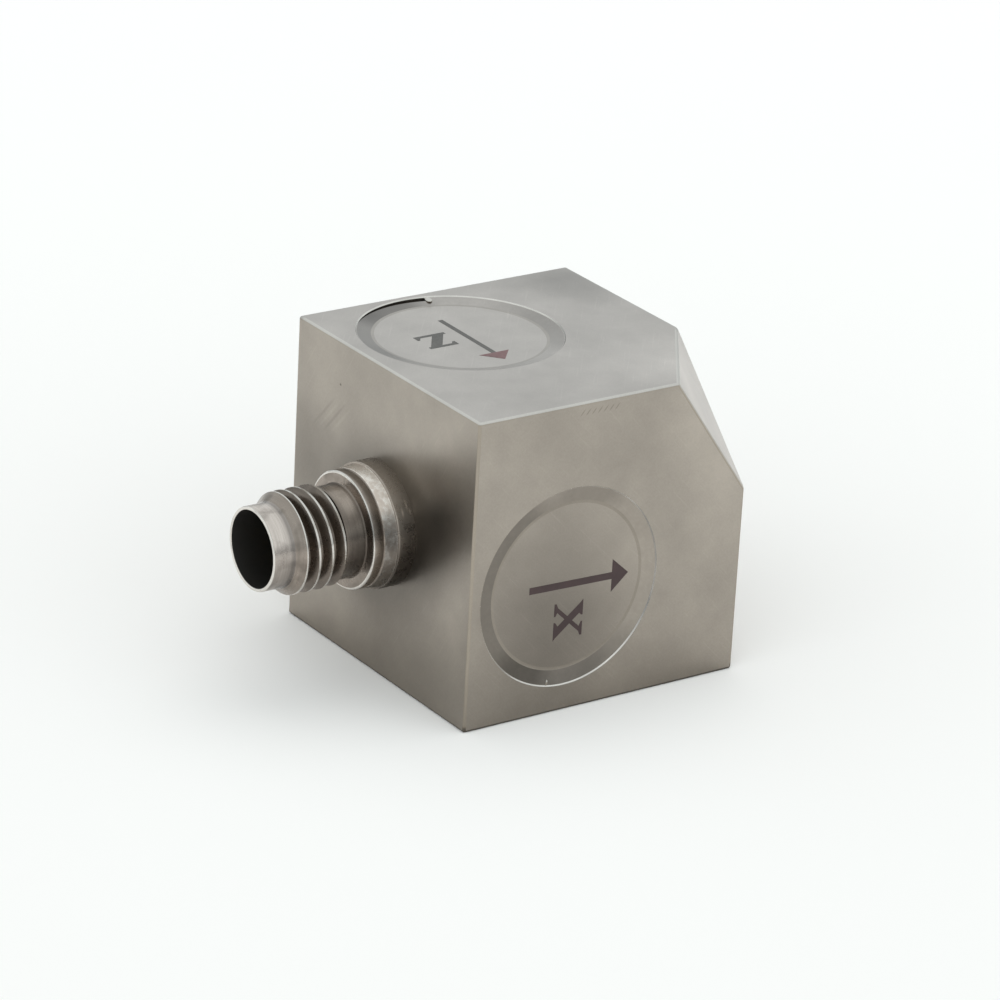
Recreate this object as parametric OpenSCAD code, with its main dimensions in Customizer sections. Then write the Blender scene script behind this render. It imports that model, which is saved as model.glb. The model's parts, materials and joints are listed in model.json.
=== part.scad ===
// Triaxial vibration sensor: a cube of ground metal with one corner cut off, three round
// welded covers over three planar shear elements, and a threaded four-contact connector.
// Millimetres, +Z up. The origin is the middle of the face that the cube rests on, the
// connector points to -X, and the mounting face with its tapped hole looks to +Y.

/* [Housing] */
// Length of the housing along the connector's axis
body_x = 20; // [19:0.5:26]
// Width of the housing from the first cover to the mounting face
body_y = 20; // [19.5:0.5:26]
// Height of the housing
body_z = 20; // [19:0.5:26]
// Length that the corner cut takes off the edge along X
cut_x = 5.6; // [3:0.1:6.5]
// Length that the corner cut takes off the edge along Y
cut_y = 7.9; // [4:0.1:8.5]
// Length that the corner cut takes off the edge along Z
cut_z = 7.9; // [4:0.1:8.5]
// Width of the bevel on every broken edge
edge_break = 0.12; // [0.05:0.01:0.25]
// Least wall left between the wiring chamber and a cavity
inner_wall = 0.8; // [0.4:0.1:1.2]

/* [Cover places] */
// Cover X, on the -Y face: middle to the connector face
cover_x_from_connector = 7.17; // [6.8:0.01:8]
// Cover X: middle to the resting face
cover_x_from_base = 8.15; // [6.9:0.01:9]
// Cover Z, on the +Z face: middle to the connector face
cover_z_from_connector = 7.38; // [6.8:0.01:8]
// Cover Z: middle to the mounting face
cover_z_from_back = 6.88; // [6.8:0.01:8]
// Cover Y, on the +X face: middle to the mounting face
cover_y_from_back = 7.6; // [6.9:0.01:8.5]
// Cover Y: middle to the resting face
cover_y_from_base = 7.0; // [6.8:0.01:8]

/* [Covers] */
// Radius of a cover
cover_r = 6.37; // [5.8:0.01:6.4]
// Thickness of a cover at its rim
cover_t = 1.0; // [0.6:0.1:1.4]
// Width of the flat lip at the rim
cover_lip = 0.08; // [0.06:0.01:0.3]
// Width of the ramp from the lip down to the sunk floor
cover_ramp = 0.9; // [0.3:0.01:1.2]
// Depth of the sunk floor below the housing face
cover_dish = 0.28; // [0.05:0.01:0.35]
// Bevel on a cover's rim, one side of the weld groove
cover_bevel = 0.04; // [0.02:0.01:0.05]
// Bevel at the mouth of a cover's seat, the other side of the weld groove
seat_bevel = 0.1; // [0.02:0.01:0.15]
// Radial gap between a cover and its seat
cover_gap = 0.02; // [0.01:0.01:0.05]

/* [Cavities] */
// Radius of the cavity around a shear element
cavity_r = 4.5; // [4.3:0.05:4.6]
// Depth of the cavity behind cover Y
cavity_y_depth = 6.3; // [5.6:0.1:6.8]
// Radius of the drilled lead passages
passage_r = 0.4; // [0.3:0.05:0.45]
// Gap between a lead passage and its cavity's wall
passage_inset = 0.1; // [0.05:0.05:0.2]
// Place of the passages into the wiring chamber, from the connector face
passage_from_connector = 4.5; // [4:0.1:6]

/* [Mounting hole] */
// Radius of the tapped hole's wall
mount_hole_r = 2.1; // [1.5:0.05:2.3]
// Depth of the tapped hole's wall, from the mounting face
mount_hole_depth = 5.0; // [3.5:0.1:5.4]
// Depth of the countersink at the hole's mouth
mount_hole_sink = 0.4; // [0.1:0.05:0.6]

/* [Connector shell] */
// Radius of the wiring chamber, which takes the shell's spigot
chamber_r = 2.9; // [2.7:0.05:3]
// Depth of the wiring chamber
chamber_depth = 8.2; // [7.5:0.1:9]
// Radial gap between spigot and chamber
spigot_gap = 0.03; // [0.01:0.01:0.06]
// Length of the spigot inside the housing
spigot_l = 2.0; // [1:0.1:2.4]
// Radius of the welded base ring
ring_r = 3.95; // [3.8:0.05:4.8]
// Height of the base ring
ring_h = 1.2; // [0.8:0.05:1.4]
// Radius of the collar
collar_r = 3.7; // [3.4:0.05:3.8]
// Height of the collar
collar_h = 1.6; // [1:0.05:2]
// Bevel on the collar's front edge
collar_bevel = 0.16; // [0.05:0.01:0.2]
// Place of the groove round the collar, as a share of its height
collar_groove_share = 0.55; // [0.3:0.01:0.65]
// Width of the groove round the collar
collar_groove_w = 0.16; // [0.08:0.01:0.3]
// Depth of the groove round the collar
collar_groove_depth = 0.1; // [0.05:0.01:0.15]
// Radius of the neck between collar and thread
neck_r = 2.9; // [2.75:0.05:3.05]
// Length of the neck
neck_l = 1.4; // [0.8:0.05:1.8]
// Outer radius of the thread
thread_r = 3.175; // [3.1:0.005:3.3]
// Length of the thread
thread_l = 2.93; // [2.5:0.01:4]
// Bevel at the rear end of the thread
thread_bevel = 0.22; // [0.1:0.01:0.25]
// Length of the cone from the thread's front end down to the nose
nose_cone_l = 0.6; // [0.3:0.05:0.9]
// Radius of the thin nose
nose_r = 2.62; // [2.55:0.01:2.7]
// Length of the nose ahead of the thread
nose_l = 1.97; // [1.3:0.01:2.5]
// Radius of the socket's bore
socket_r = 2.4; // [2.3:0.01:2.45]
// Rounding of the nose's rim
nose_round = 0.08; // [0.03:0.01:0.1]
// Radius of the narrower bore around the contacts, behind the stop in the socket
contact_bore_r = 2.2; // [2.1:0.01:2.22]
// Depth of the socket's bore, from the nose's rim to its stop
socket_depth = 3.0; // [2.5:0.1:3.3]

/* [Contacts] */
// Thickness of the insulator
insulator_t = 2.8; // [2:0.1:3.2]
// Shoulder in the shell behind the insulator, from the housing face
insulator_seat = 1.0; // [0.6:0.1:1.4]
// Width of the ledge that the insulator seats on
insulator_ledge = 0.2; // [0.1:0.05:0.3]
// Radial gap around the insulator
insulator_gap = 0.02; // [0.01:0.01:0.05]
// Height of the polarising key on the insulator
key_h = 1.6; // [1:0.1:2]
// Distance of the key's flat from the axis
key_offset = 1.75; // [1.6:0.05:2]
// Radius of the circle of contacts
contact_circle = 1.1; // [1:0.05:1.15]
// Radius of a contact pin
contact_r = 0.38; // [0.3:0.01:0.4]
// Distance of the pin tips behind the stop in the socket
tip_setback = 0.1; // [0.05:0.05:0.3]
// Radius of a pin's tail
tail_r = 0.25; // [0.2:0.01:0.3]
// End of the tails, measured into the housing from the connector face
tail_depth = 1.4; // [0.8:0.1:1.8]
// Radial gap between a pin and the insulator
contact_gap = 0.01; // [0.005:0.005:0.02]

/* [Shear elements] */
// Radius of the post's base disc
post_r = 3.5; // [3.2:0.05:3.55]
// Thickness of the post's base disc
post_base_t = 0.7; // [0.5:0.05:1]
// Width of the post's upright web
web_w = 4.4; // [3.6:0.1:5]
// Thickness of the web
web_t = 1.2; // [0.9:0.05:1.4]
// Width of a piezo crystal
crystal_w = 4.0; // [3:0.1:4.4]
// Thickness of a piezo crystal
crystal_t = 0.6; // [0.4:0.05:0.8]
// Height that the crystals and masses stay short of the web at each end
crystal_margin = 0.1; // [0.05:0.05:0.3]
// Outer radius of the seismic masses
mass_r = 3.3; // [3:0.05:3.45]
// Distance of the bolt's seats from the middle plane
bolt_seat = 2.35; // [2.1:0.05:2.5]
// Radius of the clamp bolt
bolt_r = 0.4; // [0.3:0.05:0.5]
// Radius of the bolt's head
bolt_head_r = 0.75; // [0.65:0.05:0.8]
// Height of the bolt's head and of the nut
bolt_head_h = 0.55; // [0.4:0.05:0.6]
// Length of the bolt past the nut
bolt_stub = 0.15; // [0.05:0.05:0.25]
// Radial gap around the bolt
bolt_gap = 0.05; // [0.03:0.01:0.1]
// Radial gap around the bolt's head and the nut
head_gap = 0.2; // [0.15:0.05:0.3]
// Radial gap between a nut and its bolt
nut_gap = 0.02; // [0.01:0.01:0.04]

/* [Boards and leads] */
// Radius of an amplifier board
board_r = 4.8; // [4.75:0.05:5.2]
// Thickness of a board
board_t = 0.4; // [0.3:0.05:0.6]
// Depth of the flat on a board's edge
board_flat = 0.4; // [0.2:0.05:0.6]
// Radial gap around a board
board_gap = 0.05; // [0.02:0.01:0.1]
// Height from a board's underside to the cover above it
board_room = 1.2; // [1.1:0.05:1.5]
// Height between the shear element and the board
element_gap = 0.5; // [0.3:0.05:0.7]
// Length of the amplifier chip
chip_l = 2.6; // [1.5:0.1:3]
// Width of the amplifier chip
chip_w = 1.8; // [1:0.1:2]
// Height of the amplifier chip
chip_h = 0.45; // [0.3:0.05:0.6]
// Length of the small chip components
part_l = 1.0; // [0.6:0.1:1.2]
// Width of the small chip components
part_w = 0.5; // [0.3:0.05:0.7]
// Height of the small chip components
part_h = 0.35; // [0.25:0.05:0.5]
// Distance of the small components from the board's middle
part_offset = 2.6; // [2.2:0.1:3.2]
// Radius of a lead with its insulation
lead_r = 0.24; // [0.15:0.01:0.25]
// Length of a lead's straight end at its contact
lead_end = 0.9; // [0.7:0.1:1.2]
// Reach of the bends in a lead
lead_bend = 0.6; // [0.4:0.1:0.8]
// Radius of the fine wires from the masses to the boards
wire_r = 0.12; // [0.08:0.01:0.15]
// Place of the fine wires along the arrow of their cover
wire_along = 1.5; // [1:0.1:1.8]
// Place of the fine wires across the arrow of their cover
wire_across = 2.0; // [1.8:0.05:2.3]

/* [Hidden] */

$fn = 96;
// Overlap of cutting tools past the faces that they cut
over = 1;
// Faces around a lead, and steps in each of its bends
lead_sides = 12;
bend_steps = 4;
// Largest share of a straight piece that a bend at one of its ends may take
bend_share = 0.45;
// Angle between a drill point's side and its axis
drill_angle = 59;

// The three axes, in the order X, Y, Z
AXES = [0, 1, 2];
connector_z = body_z / 2;

// Depth of each cavity below its cover's face
depths = [
    body_y / 2 - chamber_r - inner_wall,
    cavity_y_depth,
    body_z - connector_z - chamber_r - inner_wall
];
// Middle of each cover on its face
face_points = [
    [-body_x / 2 + cover_x_from_connector, -body_y / 2, cover_x_from_base],
    [body_x / 2, body_y / 2 - cover_y_from_back, cover_y_from_base],
    [-body_x / 2 + cover_z_from_connector, body_y / 2 - cover_z_from_back, body_z]
];
// Turn of each cover: its local Z leaves the face and its local X is the measuring direction
face_turns = [[90, 0, 0], [180, -90, 0], [0, 0, -90]];

cover_floor_r = cover_r - cover_lip - cover_ramp;
seat_r = cover_r + cover_gap;
board_bore_r = board_r + board_gap;
spigot_r = chamber_r - spigot_gap;

// Heights along the connector, outwards from the housing face
collar_z = ring_h;
neck_z = collar_z + collar_h;
thread_z = neck_z + neck_l;
nose_z = thread_z + thread_l;
rim_z = nose_z + nose_l;
stop_z = rim_z - socket_depth;
tip_z = stop_z - tip_setback;

// Half thickness of the web with one crystal, where a mass begins
stack_y = web_t / 2 + crystal_t;

// Heights in a cavity, above its floor
function board_level(a) = depths[a] - cover_t - board_room;
function web_h(a) = board_level(a) - post_base_t - element_gap;
function element_h(a) = web_h(a) - 2 * crystal_margin;
function bolt_level(a) = post_base_t + web_h(a) / 2;

// Radius at which a lead passage leaves its cavity
passage_offset = cavity_r - passage_inset - passage_r;

// Point at a distance from one point towards another
function toward(from, to, distance) = from + distance * (to - from) / norm(to - from);

// Where each lead passage runs: X in x and z, Y in y and z, Z in x and y
passage_x = -body_x / 2 + passage_from_connector;
passages = [
    toward([face_points[0].x, face_points[0].z], [passage_x, connector_z], passage_offset),
    toward([face_points[1].y, face_points[1].z], [0, connector_z], passage_offset),
    toward([face_points[2].x, face_points[2].y], [passage_x, 0], passage_offset)
];

// Ends of the pin tails in the wiring chamber
tail_x = -body_x / 2 + tail_depth;
// Contact angles around the connector: Z above, Y towards +Y, common below, X towards -Y
contact_angles = [0, 90, 180, 270];

// Places children in a cover's frame, with the origin on the housing face
module at_face(a) {
    translate(face_points[a])
        rotate(face_turns[a])
            children();
}

// Places children in a cavity's frame, with the origin on the cavity floor
module at_floor(a) {
    at_face(a)
        translate([0, 0, -depths[a]])
            children();
}

// Places children in the connector's frame, with Z outwards and X upwards
module at_connector() {
    translate([-body_x / 2, 0, connector_z])
        rotate([0, -90, 0])
            children();
}

// Square with bevelled corners
module bevelled_square(w, h, bevel) {
    polygon([
        [-w / 2 + bevel, -h / 2], [w / 2 - bevel, -h / 2],
        [w / 2, -h / 2 + bevel], [w / 2, h / 2 - bevel],
        [w / 2 - bevel, h / 2], [-w / 2 + bevel, h / 2],
        [-w / 2, h / 2 - bevel], [-w / 2, -h / 2 + bevel]
    ]);
}

// Cube with bevels along all twelve edges, resting on the XY plane
module bevelled_cube() {
    translate([0, 0, body_z / 2])
        intersection() {
            linear_extrude(body_z, center = true)
                bevelled_square(body_x, body_y, edge_break);
            rotate([90, 0, 0])
                linear_extrude(body_y, center = true)
                    bevelled_square(body_x, body_z, edge_break);
            rotate([90, 0, 90])
                linear_extrude(body_x, center = true)
                    bevelled_square(body_y, body_z, edge_break);
        }
}

// Block that fills everything beyond a plane, given by a point on it and its outward normal
module beyond(point, normal) {
    size = 2 * (body_x + body_y + body_z);
    n = normal / norm(normal);
    translate(point)
        rotate([0, acos(n.z), atan2(n.y, n.x)])
            translate([-size / 2, -size / 2, 0])
                cube(size);
}

// Corner cut where the three cover faces meet, with its own broken edges
module corner_cut() {
    corner = [body_x / 2, -body_y / 2, body_z];
    on_x = corner - [cut_x, 0, 0];
    on_y = corner + [0, cut_y, 0];
    on_z = corner - [0, 0, cut_z];
    facet = [1 / cut_x, -1 / cut_y, 1 / cut_z];
    facet_n = facet / norm(facet);
    beyond(on_x, facet_n);
    for (edge = [[on_x, [0, 0, 1]], [on_y, [1, 0, 0]], [on_z, [0, -1, 0]]]) {
        bevel_n = facet_n + edge[1];
        beyond(edge[0] - edge_break / 2 * bevel_n / norm(bevel_n), bevel_n);
    }
}

// Seat of a cover, ledge of its board and cavity of its element
module cavity(a) {
    at_face(a) {
        translate([0, 0, -cover_t])
            cylinder(r = seat_r, h = cover_t + over);
        translate([0, 0, -seat_bevel])
            cylinder(r1 = seat_r, r2 = seat_r + seat_bevel + over, h = seat_bevel + over);
        translate([0, 0, -depths[a] + board_level(a)])
            cylinder(r = board_bore_r, h = depths[a]);
        translate([0, 0, -depths[a]])
            cylinder(r = cavity_r, h = depths[a]);
    }
}

// Drilled passages from the three cavities into the wiring chamber
module lead_passages() {
    floor_x = -body_y / 2 + depths[0];
    floor_y = body_x / 2 - depths[1];
    floor_z = body_z - depths[2];
    chamber_end = -body_x / 2 + chamber_depth;
    translate([passages[0][0], floor_x - over, passages[0][1]])
        rotate([-90, 0, 0])
            cylinder(r = passage_r, h = -floor_x + over);
    translate([chamber_end - over, passages[1][0], passages[1][1]])
        rotate([0, 90, 0])
            cylinder(r = passage_r, h = floor_y - chamber_end + 2 * over);
    translate([passages[2][0], passages[2][1], connector_z])
        cylinder(r = passage_r, h = floor_z - connector_z + over);
}

// Tapped hole with a countersunk mouth and a drill point, from the mounting face inwards
module mounting_hole() {
    drill_point = mount_hole_r / tan(drill_angle);
    translate([0, body_y / 2, connector_z])
        rotate([90, 0, 0]) {
            translate([0, 0, -over])
                cylinder(r = mount_hole_r, h = mount_hole_depth + over);
            translate([0, 0, mount_hole_depth])
                cylinder(r1 = mount_hole_r, r2 = 0, h = drill_point);
            translate([0, 0, -over])
                cylinder(
                    r1 = mount_hole_r + mount_hole_sink + over,
                    r2 = mount_hole_r,
                    h = mount_hole_sink + over
                );
        }
}

// One machined piece: cube with its corner cut, cavities, wiring chamber and mounting hole
module housing() {
    color([0.66, 0.63, 0.60])
        difference() {
            bevelled_cube();
            corner_cut();
            for (a = AXES)
                cavity(a);
            at_connector()
                translate([0, 0, -chamber_depth])
                    cylinder(r = chamber_r, h = chamber_depth + over);
            lead_passages();
            mounting_hole();
        }
}

// Turned cover with a flat lip, a ramp and a sunk floor
module cover(a) {
    color([0.64, 0.61, 0.58])
        at_face(a)
            rotate_extrude()
                polygon([
                    [0, -cover_t],
                    [cover_r, -cover_t],
                    [cover_r, -cover_bevel],
                    [cover_r - cover_bevel, 0],
                    [cover_r - cover_lip, 0],
                    [cover_floor_r, -cover_dish],
                    [0, -cover_dish]
                ]);
}

module cover_x() { cover(0); }
module cover_y() { cover(1); }
module cover_z() { cover(2); }

// Turned shell: spigot, base ring, grooved collar, neck, thread and thin nose around one socket
module connector_shell() {
    bore_r = contact_bore_r - insulator_ledge;
    groove_z = collar_z + collar_groove_share * collar_h;
    color([0.48, 0.46, 0.44])
        at_connector()
            rotate_extrude()
                polygon([
                    [bore_r, -spigot_l],
                    [spigot_r, -spigot_l],
                    [spigot_r, 0],
                    [ring_r, 0],
                    [ring_r, ring_h],
                    [collar_r, ring_h],
                    [collar_r, groove_z - collar_groove_w / 2],
                    [collar_r - collar_groove_depth, groove_z],
                    [collar_r, groove_z + collar_groove_w / 2],
                    [collar_r, neck_z - collar_bevel],
                    [collar_r - collar_bevel, neck_z],
                    [neck_r, neck_z],
                    [neck_r, thread_z],
                    [thread_r - thread_bevel, thread_z],
                    [thread_r, thread_z + thread_bevel],
                    [thread_r, nose_z],
                    [nose_r, nose_z + nose_cone_l],
                    [nose_r, rim_z - nose_round],
                    [nose_r - nose_round, rim_z],
                    [socket_r, rim_z],
                    [socket_r, stop_z],
                    [contact_bore_r, stop_z],
                    [contact_bore_r, insulator_seat],
                    [bore_r, insulator_seat]
                ]);
}

// Moulded disc that holds the contacts, with a half-moon key ahead of it
module connector_insulator() {
    disc_r = contact_bore_r - insulator_gap;
    color([0.12, 0.12, 0.13])
        at_connector()
            difference() {
                union() {
                    translate([0, 0, insulator_seat])
                        cylinder(r = disc_r, h = insulator_t);
                    translate([0, 0, insulator_seat])
                        intersection() {
                            cylinder(r = disc_r, h = insulator_t + key_h);
                            translate([key_offset, -disc_r, 0])
                                cube([disc_r, 2 * disc_r, insulator_t + key_h]);
                        }
                }
                for (angle = contact_angles)
                    rotate(angle)
                        translate([contact_circle, 0, insulator_seat - over])
                            cylinder(r = contact_r + contact_gap, h = insulator_t + key_h + 2 * over);
            }
}

// One turned contact: tail, shank and a bevelled tip
module contact_pin() {
    tip_bevel = contact_r / 2;
    rotate_extrude()
        polygon([
            [0, -tail_depth],
            [tail_r, -tail_depth],
            [tail_r, insulator_seat],
            [contact_r, insulator_seat],
            [contact_r, tip_z - tip_bevel],
            [contact_r - tip_bevel, tip_z],
            [0, tip_z]
        ]);
}

// Four contacts: three signals and one common
module contact_pins() {
    color([0.85, 0.68, 0.30])
        at_connector()
            for (angle = contact_angles)
                rotate(angle)
                    translate([contact_circle, 0, 0])
                        contact_pin();
}

// Hole for the clamp bolt, across the shear stack
module bolt_hole(a) {
    translate([0, 0, bolt_level(a)])
        rotate([90, 0, 0])
            cylinder(r = bolt_r + bolt_gap, h = 2 * (mass_r + over), center = true);
}

// Post with a base disc and an upright web
module post(a) {
    color([0.60, 0.58, 0.56])
        at_floor(a)
            difference() {
                union() {
                    cylinder(r = post_r, h = post_base_t);
                    translate([-web_w / 2, -web_t / 2, 0])
                        cube([web_w, web_t, post_base_t + web_h(a)]);
                }
                bolt_hole(a);
            }
}

module post_x() { post(0); }
module post_y() { post(1); }
module post_z() { post(2); }

// Two piezo crystals, one on each side of the web
module crystals(a) {
    color([0.83, 0.78, 0.64])
        at_floor(a)
            for (side = [0, 180])
                rotate(side)
                    difference() {
                        translate([-crystal_w / 2, web_t / 2, post_base_t + crystal_margin])
                            cube([crystal_w, crystal_t, element_h(a)]);
                        bolt_hole(a);
                    }
}

module crystals_x() { crystals(0); }
module crystals_y() { crystals(1); }
module crystals_z() { crystals(2); }

// Two seismic masses, each a round segment outside its crystal, recessed for the bolt
module masses(a) {
    color([0.38, 0.38, 0.40])
        at_floor(a)
            for (side = [0, 180])
                rotate(side)
                    difference() {
                        translate([0, 0, post_base_t + crystal_margin])
                            intersection() {
                                cylinder(r = mass_r, h = element_h(a));
                                translate([-mass_r, stack_y, 0])
                                    cube([2 * mass_r, mass_r, element_h(a)]);
                            }
                        bolt_hole(a);
                        translate([0, bolt_seat, bolt_level(a)])
                            rotate([-90, 0, 0])
                                cylinder(r = bolt_head_r + head_gap, h = mass_r);
                    }
}

module masses_x() { masses(0); }
module masses_y() { masses(1); }
module masses_z() { masses(2); }

// Clamp bolt of one stack, with its head on one mass and its end past the nut
module clamp_bolt(a) {
    shank_l = 2 * bolt_seat + bolt_head_h + bolt_stub;
    at_floor(a)
        translate([0, bolt_seat, bolt_level(a)])
            rotate([90, 0, 0])
                rotate_extrude()
                    polygon([
                        [0, -bolt_head_h],
                        [bolt_head_r, -bolt_head_h],
                        [bolt_head_r, 0],
                        [bolt_r, 0],
                        [bolt_r, shank_l],
                        [0, shank_l]
                    ]);
}

module clamp_bolts() {
    color([0.55, 0.55, 0.57])
        for (a = AXES)
            clamp_bolt(a);
}

// Hexagon nut of one stack, seated on the second mass
module clamp_nut(a) {
    at_floor(a)
        translate([0, -bolt_seat, bolt_level(a)])
            rotate([90, 0, 0])
                difference() {
                    cylinder(r = bolt_head_r, h = bolt_head_h, $fn = 6);
                    translate([0, 0, -over])
                        cylinder(r = bolt_r + nut_gap, h = bolt_head_h + 2 * over);
                }
}

module clamp_nuts() {
    color([0.58, 0.57, 0.54])
        for (a = AXES)
            clamp_nut(a);
}

// Round amplifier board with one flat, on its ledge in the housing
module board(a) {
    flat_offset = board_r - board_flat;
    color([0.10, 0.36, 0.20])
        at_floor(a)
            translate([0, 0, board_level(a)])
                difference() {
                    cylinder(r = board_r, h = board_t);
                    translate([flat_offset, -board_r, -over])
                        cube([board_r, 2 * board_r, board_t + 2 * over]);
                }
}

module board_x() { board(0); }
module board_y() { board(1); }
module board_z() { board(2); }

// Block that stands on a board, centred on its own footprint
module on_board(a, place, size) {
    translate([place.x - size.x / 2, place.y - size.y / 2, board_level(a) + board_t])
        cube(size);
}

// Charge amplifier of one axis: the chip and two small components beside it
module amplifier(a) {
    color([0.09, 0.09, 0.10])
        at_floor(a) {
            on_board(a, [0, 0], [chip_l, chip_w, chip_h]);
            for (side = [-1, 1])
                on_board(a, [0, side * part_offset], [part_l, part_w, part_h]);
        }
}

module amplifier_x() { amplifier(0); }
module amplifier_y() { amplifier(1); }
module amplifier_z() { amplifier(2); }

// Fine wires from the masses up to the boards
module charge_wires() {
    color([0.80, 0.70, 0.45])
        for (a = AXES, side = [-1, 1])
            at_floor(a)
                translate([wire_along, side * wire_across, post_base_t + crystal_margin + element_h(a)])
                    cylinder(r = wire_r, h = element_gap + crystal_margin);
}

function unit(v) = v / norm(v);

// Reach of the bend at one corner, kept within the straight pieces on both sides
function bend_reach(points, i, reach) = min(
    reach,
    bend_share * norm(points[i - 1] - points[i]),
    bend_share * norm(points[i + 1] - points[i])
);

// Route with every inner corner drawn as a short curve
function rounded_route(points, reach) = [
    for (i = [0 : len(points) - 1])
        if (i == 0 || i == len(points) - 1)
            points[i]
        else
            let (
                d = bend_reach(points, i, reach),
                a = points[i] + d * unit(points[i - 1] - points[i]),
                b = points[i] + d * unit(points[i + 1] - points[i])
            )
            for (k = [0 : bend_steps])
                let (t = k / bend_steps)
                    (1 - t) * (1 - t) * a + 2 * t * (1 - t) * points[i] + t * t * b
];

// Direction of a route at one of its points
function heading(route, i) =
    unit(route[min(i + 1, len(route) - 1)] - route[max(i - 1, 0)]);

// Ring of points around a route, with its first point towards a given side
function ring_at(route, i, side) =
    let (
        t = heading(route, i),
        u = unit(side - (side * t) * t),
        v = cross(t, u)
    )
    [
        for (k = [0 : lead_sides - 1])
            let (angle = 360 * k / lead_sides)
                route[i] + lead_r * (cos(angle) * u + sin(angle) * v)
    ];

// Insulated lead along a route, with closed ends
module lead(points, side) {
    route = rounded_route(points, lead_bend);
    rings = len(route);
    vertices = [
        for (i = [0 : rings - 1])
            for (p = ring_at(route, i, side))
                p
    ];
    sides = [
        for (i = [0 : rings - 2], k = [0 : lead_sides - 1], half = [0, 1])
            let (
                next = (k + 1) % lead_sides,
                here = i * lead_sides,
                ahead = here + lead_sides
            )
                half == 0
                    ? [here + k, ahead + k, ahead + next]
                    : [here + k, ahead + next, here + next]
    ];
    first = [for (k = [0 : lead_sides - 1]) k];
    last = [for (k = [lead_sides - 1 : -1 : 0]) (rings - 1) * lead_sides + k];
    polyhedron(vertices, concat([first], sides, [last]));
}

// Ends of a lead at its contact: a straight piece, then the tail itself
function contact_end(y, z) = [[tail_x + lead_end, y, z], [tail_x, y, z]];

// Signal lead X: through the wall behind the element, then forward to its contact
module lead_x() {
    start_y = -body_y / 2 + depths[0] - board_level(0);
    color([0.86, 0.86, 0.84])
        lead(
            concat(
                [
                    [passages[0][0], start_y, passages[0][1]],
                    [passages[0][0], -contact_circle, passages[0][1]]
                ],
                contact_end(-contact_circle, connector_z)
            ),
            [0, 0, 1]
        );
}

// Signal lead Y: along the long passage, then across to its contact
module lead_y() {
    start_x = body_x / 2 - depths[1] + board_level(1);
    turn_x = -body_x / 2 + chamber_depth - lead_bend;
    color([0.75, 0.16, 0.14])
        lead(
            concat(
                [
                    [start_x, passages[1][0], passages[1][1]],
                    [turn_x, passages[1][0], passages[1][1]]
                ],
                contact_end(contact_circle, connector_z)
            ),
            [0, 0, 1]
        );
}

// Signal lead Z: down through the wall below the element, then forward to its contact
module lead_z() {
    start_z = body_z - depths[2] + board_level(2);
    contact_z = connector_z + contact_circle;
    color([0.20, 0.30, 0.62])
        lead(
            concat(
                [
                    [passages[2][0], passages[2][1], start_z],
                    [passages[2][0], passages[2][1], contact_z]
                ],
                contact_end(0, contact_z)
            ),
            [0, 1, 0]
        );
}

// Common lead: straight from the end wall of the wiring chamber to its contact
module lead_common() {
    contact_z = connector_z - contact_circle;
    color([0.13, 0.13, 0.13])
        lead(
            [
                [-body_x / 2 + chamber_depth, 0, contact_z],
                [tail_x, 0, contact_z]
            ],
            [0, 0, 1]
        );
}

housing();
cover_x();
cover_y();
cover_z();
connector_shell();
connector_insulator();
contact_pins();
post_x();
post_y();
post_z();
crystals_x();
crystals_y();
crystals_z();
masses_x();
masses_y();
masses_z();
clamp_bolts();
clamp_nuts();
board_x();
board_y();
board_z();
amplifier_x();
amplifier_y();
amplifier_z();
charge_wires();
lead_x();
lead_y();
lead_z();
lead_common();
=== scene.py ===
"""Looks of a cube-shaped triaxial vibration sensor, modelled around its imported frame.

Pieces are modelled in millimetres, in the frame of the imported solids, and become metres when they
are finished.
"""

import json
import logging
import math
from collections.abc import Callable, Iterator, Sequence
from contextlib import contextmanager
from dataclasses import dataclass
from enum import Enum

import bmesh
import bpy
from mathutils import Matrix, Vector


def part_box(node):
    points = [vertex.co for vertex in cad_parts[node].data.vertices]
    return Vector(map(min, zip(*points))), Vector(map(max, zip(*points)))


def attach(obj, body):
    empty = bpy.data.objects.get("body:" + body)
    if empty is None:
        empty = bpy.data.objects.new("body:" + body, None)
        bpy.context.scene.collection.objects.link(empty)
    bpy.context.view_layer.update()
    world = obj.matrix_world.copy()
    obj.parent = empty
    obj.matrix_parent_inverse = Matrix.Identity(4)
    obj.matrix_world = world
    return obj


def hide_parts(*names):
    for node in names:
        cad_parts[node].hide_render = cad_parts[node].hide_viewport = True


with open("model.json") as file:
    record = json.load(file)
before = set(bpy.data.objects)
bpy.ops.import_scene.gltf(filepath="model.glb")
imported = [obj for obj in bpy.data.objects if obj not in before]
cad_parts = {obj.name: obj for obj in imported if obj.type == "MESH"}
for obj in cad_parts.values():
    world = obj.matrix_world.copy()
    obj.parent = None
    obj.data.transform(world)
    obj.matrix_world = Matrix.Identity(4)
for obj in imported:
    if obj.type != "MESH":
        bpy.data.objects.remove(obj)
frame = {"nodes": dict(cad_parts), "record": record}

LOG = logging.getLogger("vibration_sensor")
MM = 0.001

# Lengths in millimetres: the hair's breadth that tests and joints allow, and how far cutting tools
# stand out of the surface that they cut.
HAIR = 0.01
PAST = 0.5
# Faces round the seats and covers, and round the connector.
COVER_STEPS = 160
SHELL_STEPS = 144
# Share of its neighbour's direction that a bevel's slanted face has, at least and at most.
SLANT = (0.2, 0.97)
# Range that a noise pattern fills for the most part.
NOISE_RANGE = (0.3, 0.7)

Face = bpy.types.MeshPolygon
Material = bpy.types.Material
Piece = bpy.types.Object
Socket = bpy.types.NodeSocket
Tree = bpy.types.NodeTree
NodeValue = float | Sequence[float] | Socket
Triple = tuple[float, float, float]


class Join(Enum):
    """Ways to combine two solids."""

    CUT = "DIFFERENCE"
    ADD = "UNION"
    KEEP = "INTERSECT"


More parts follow.
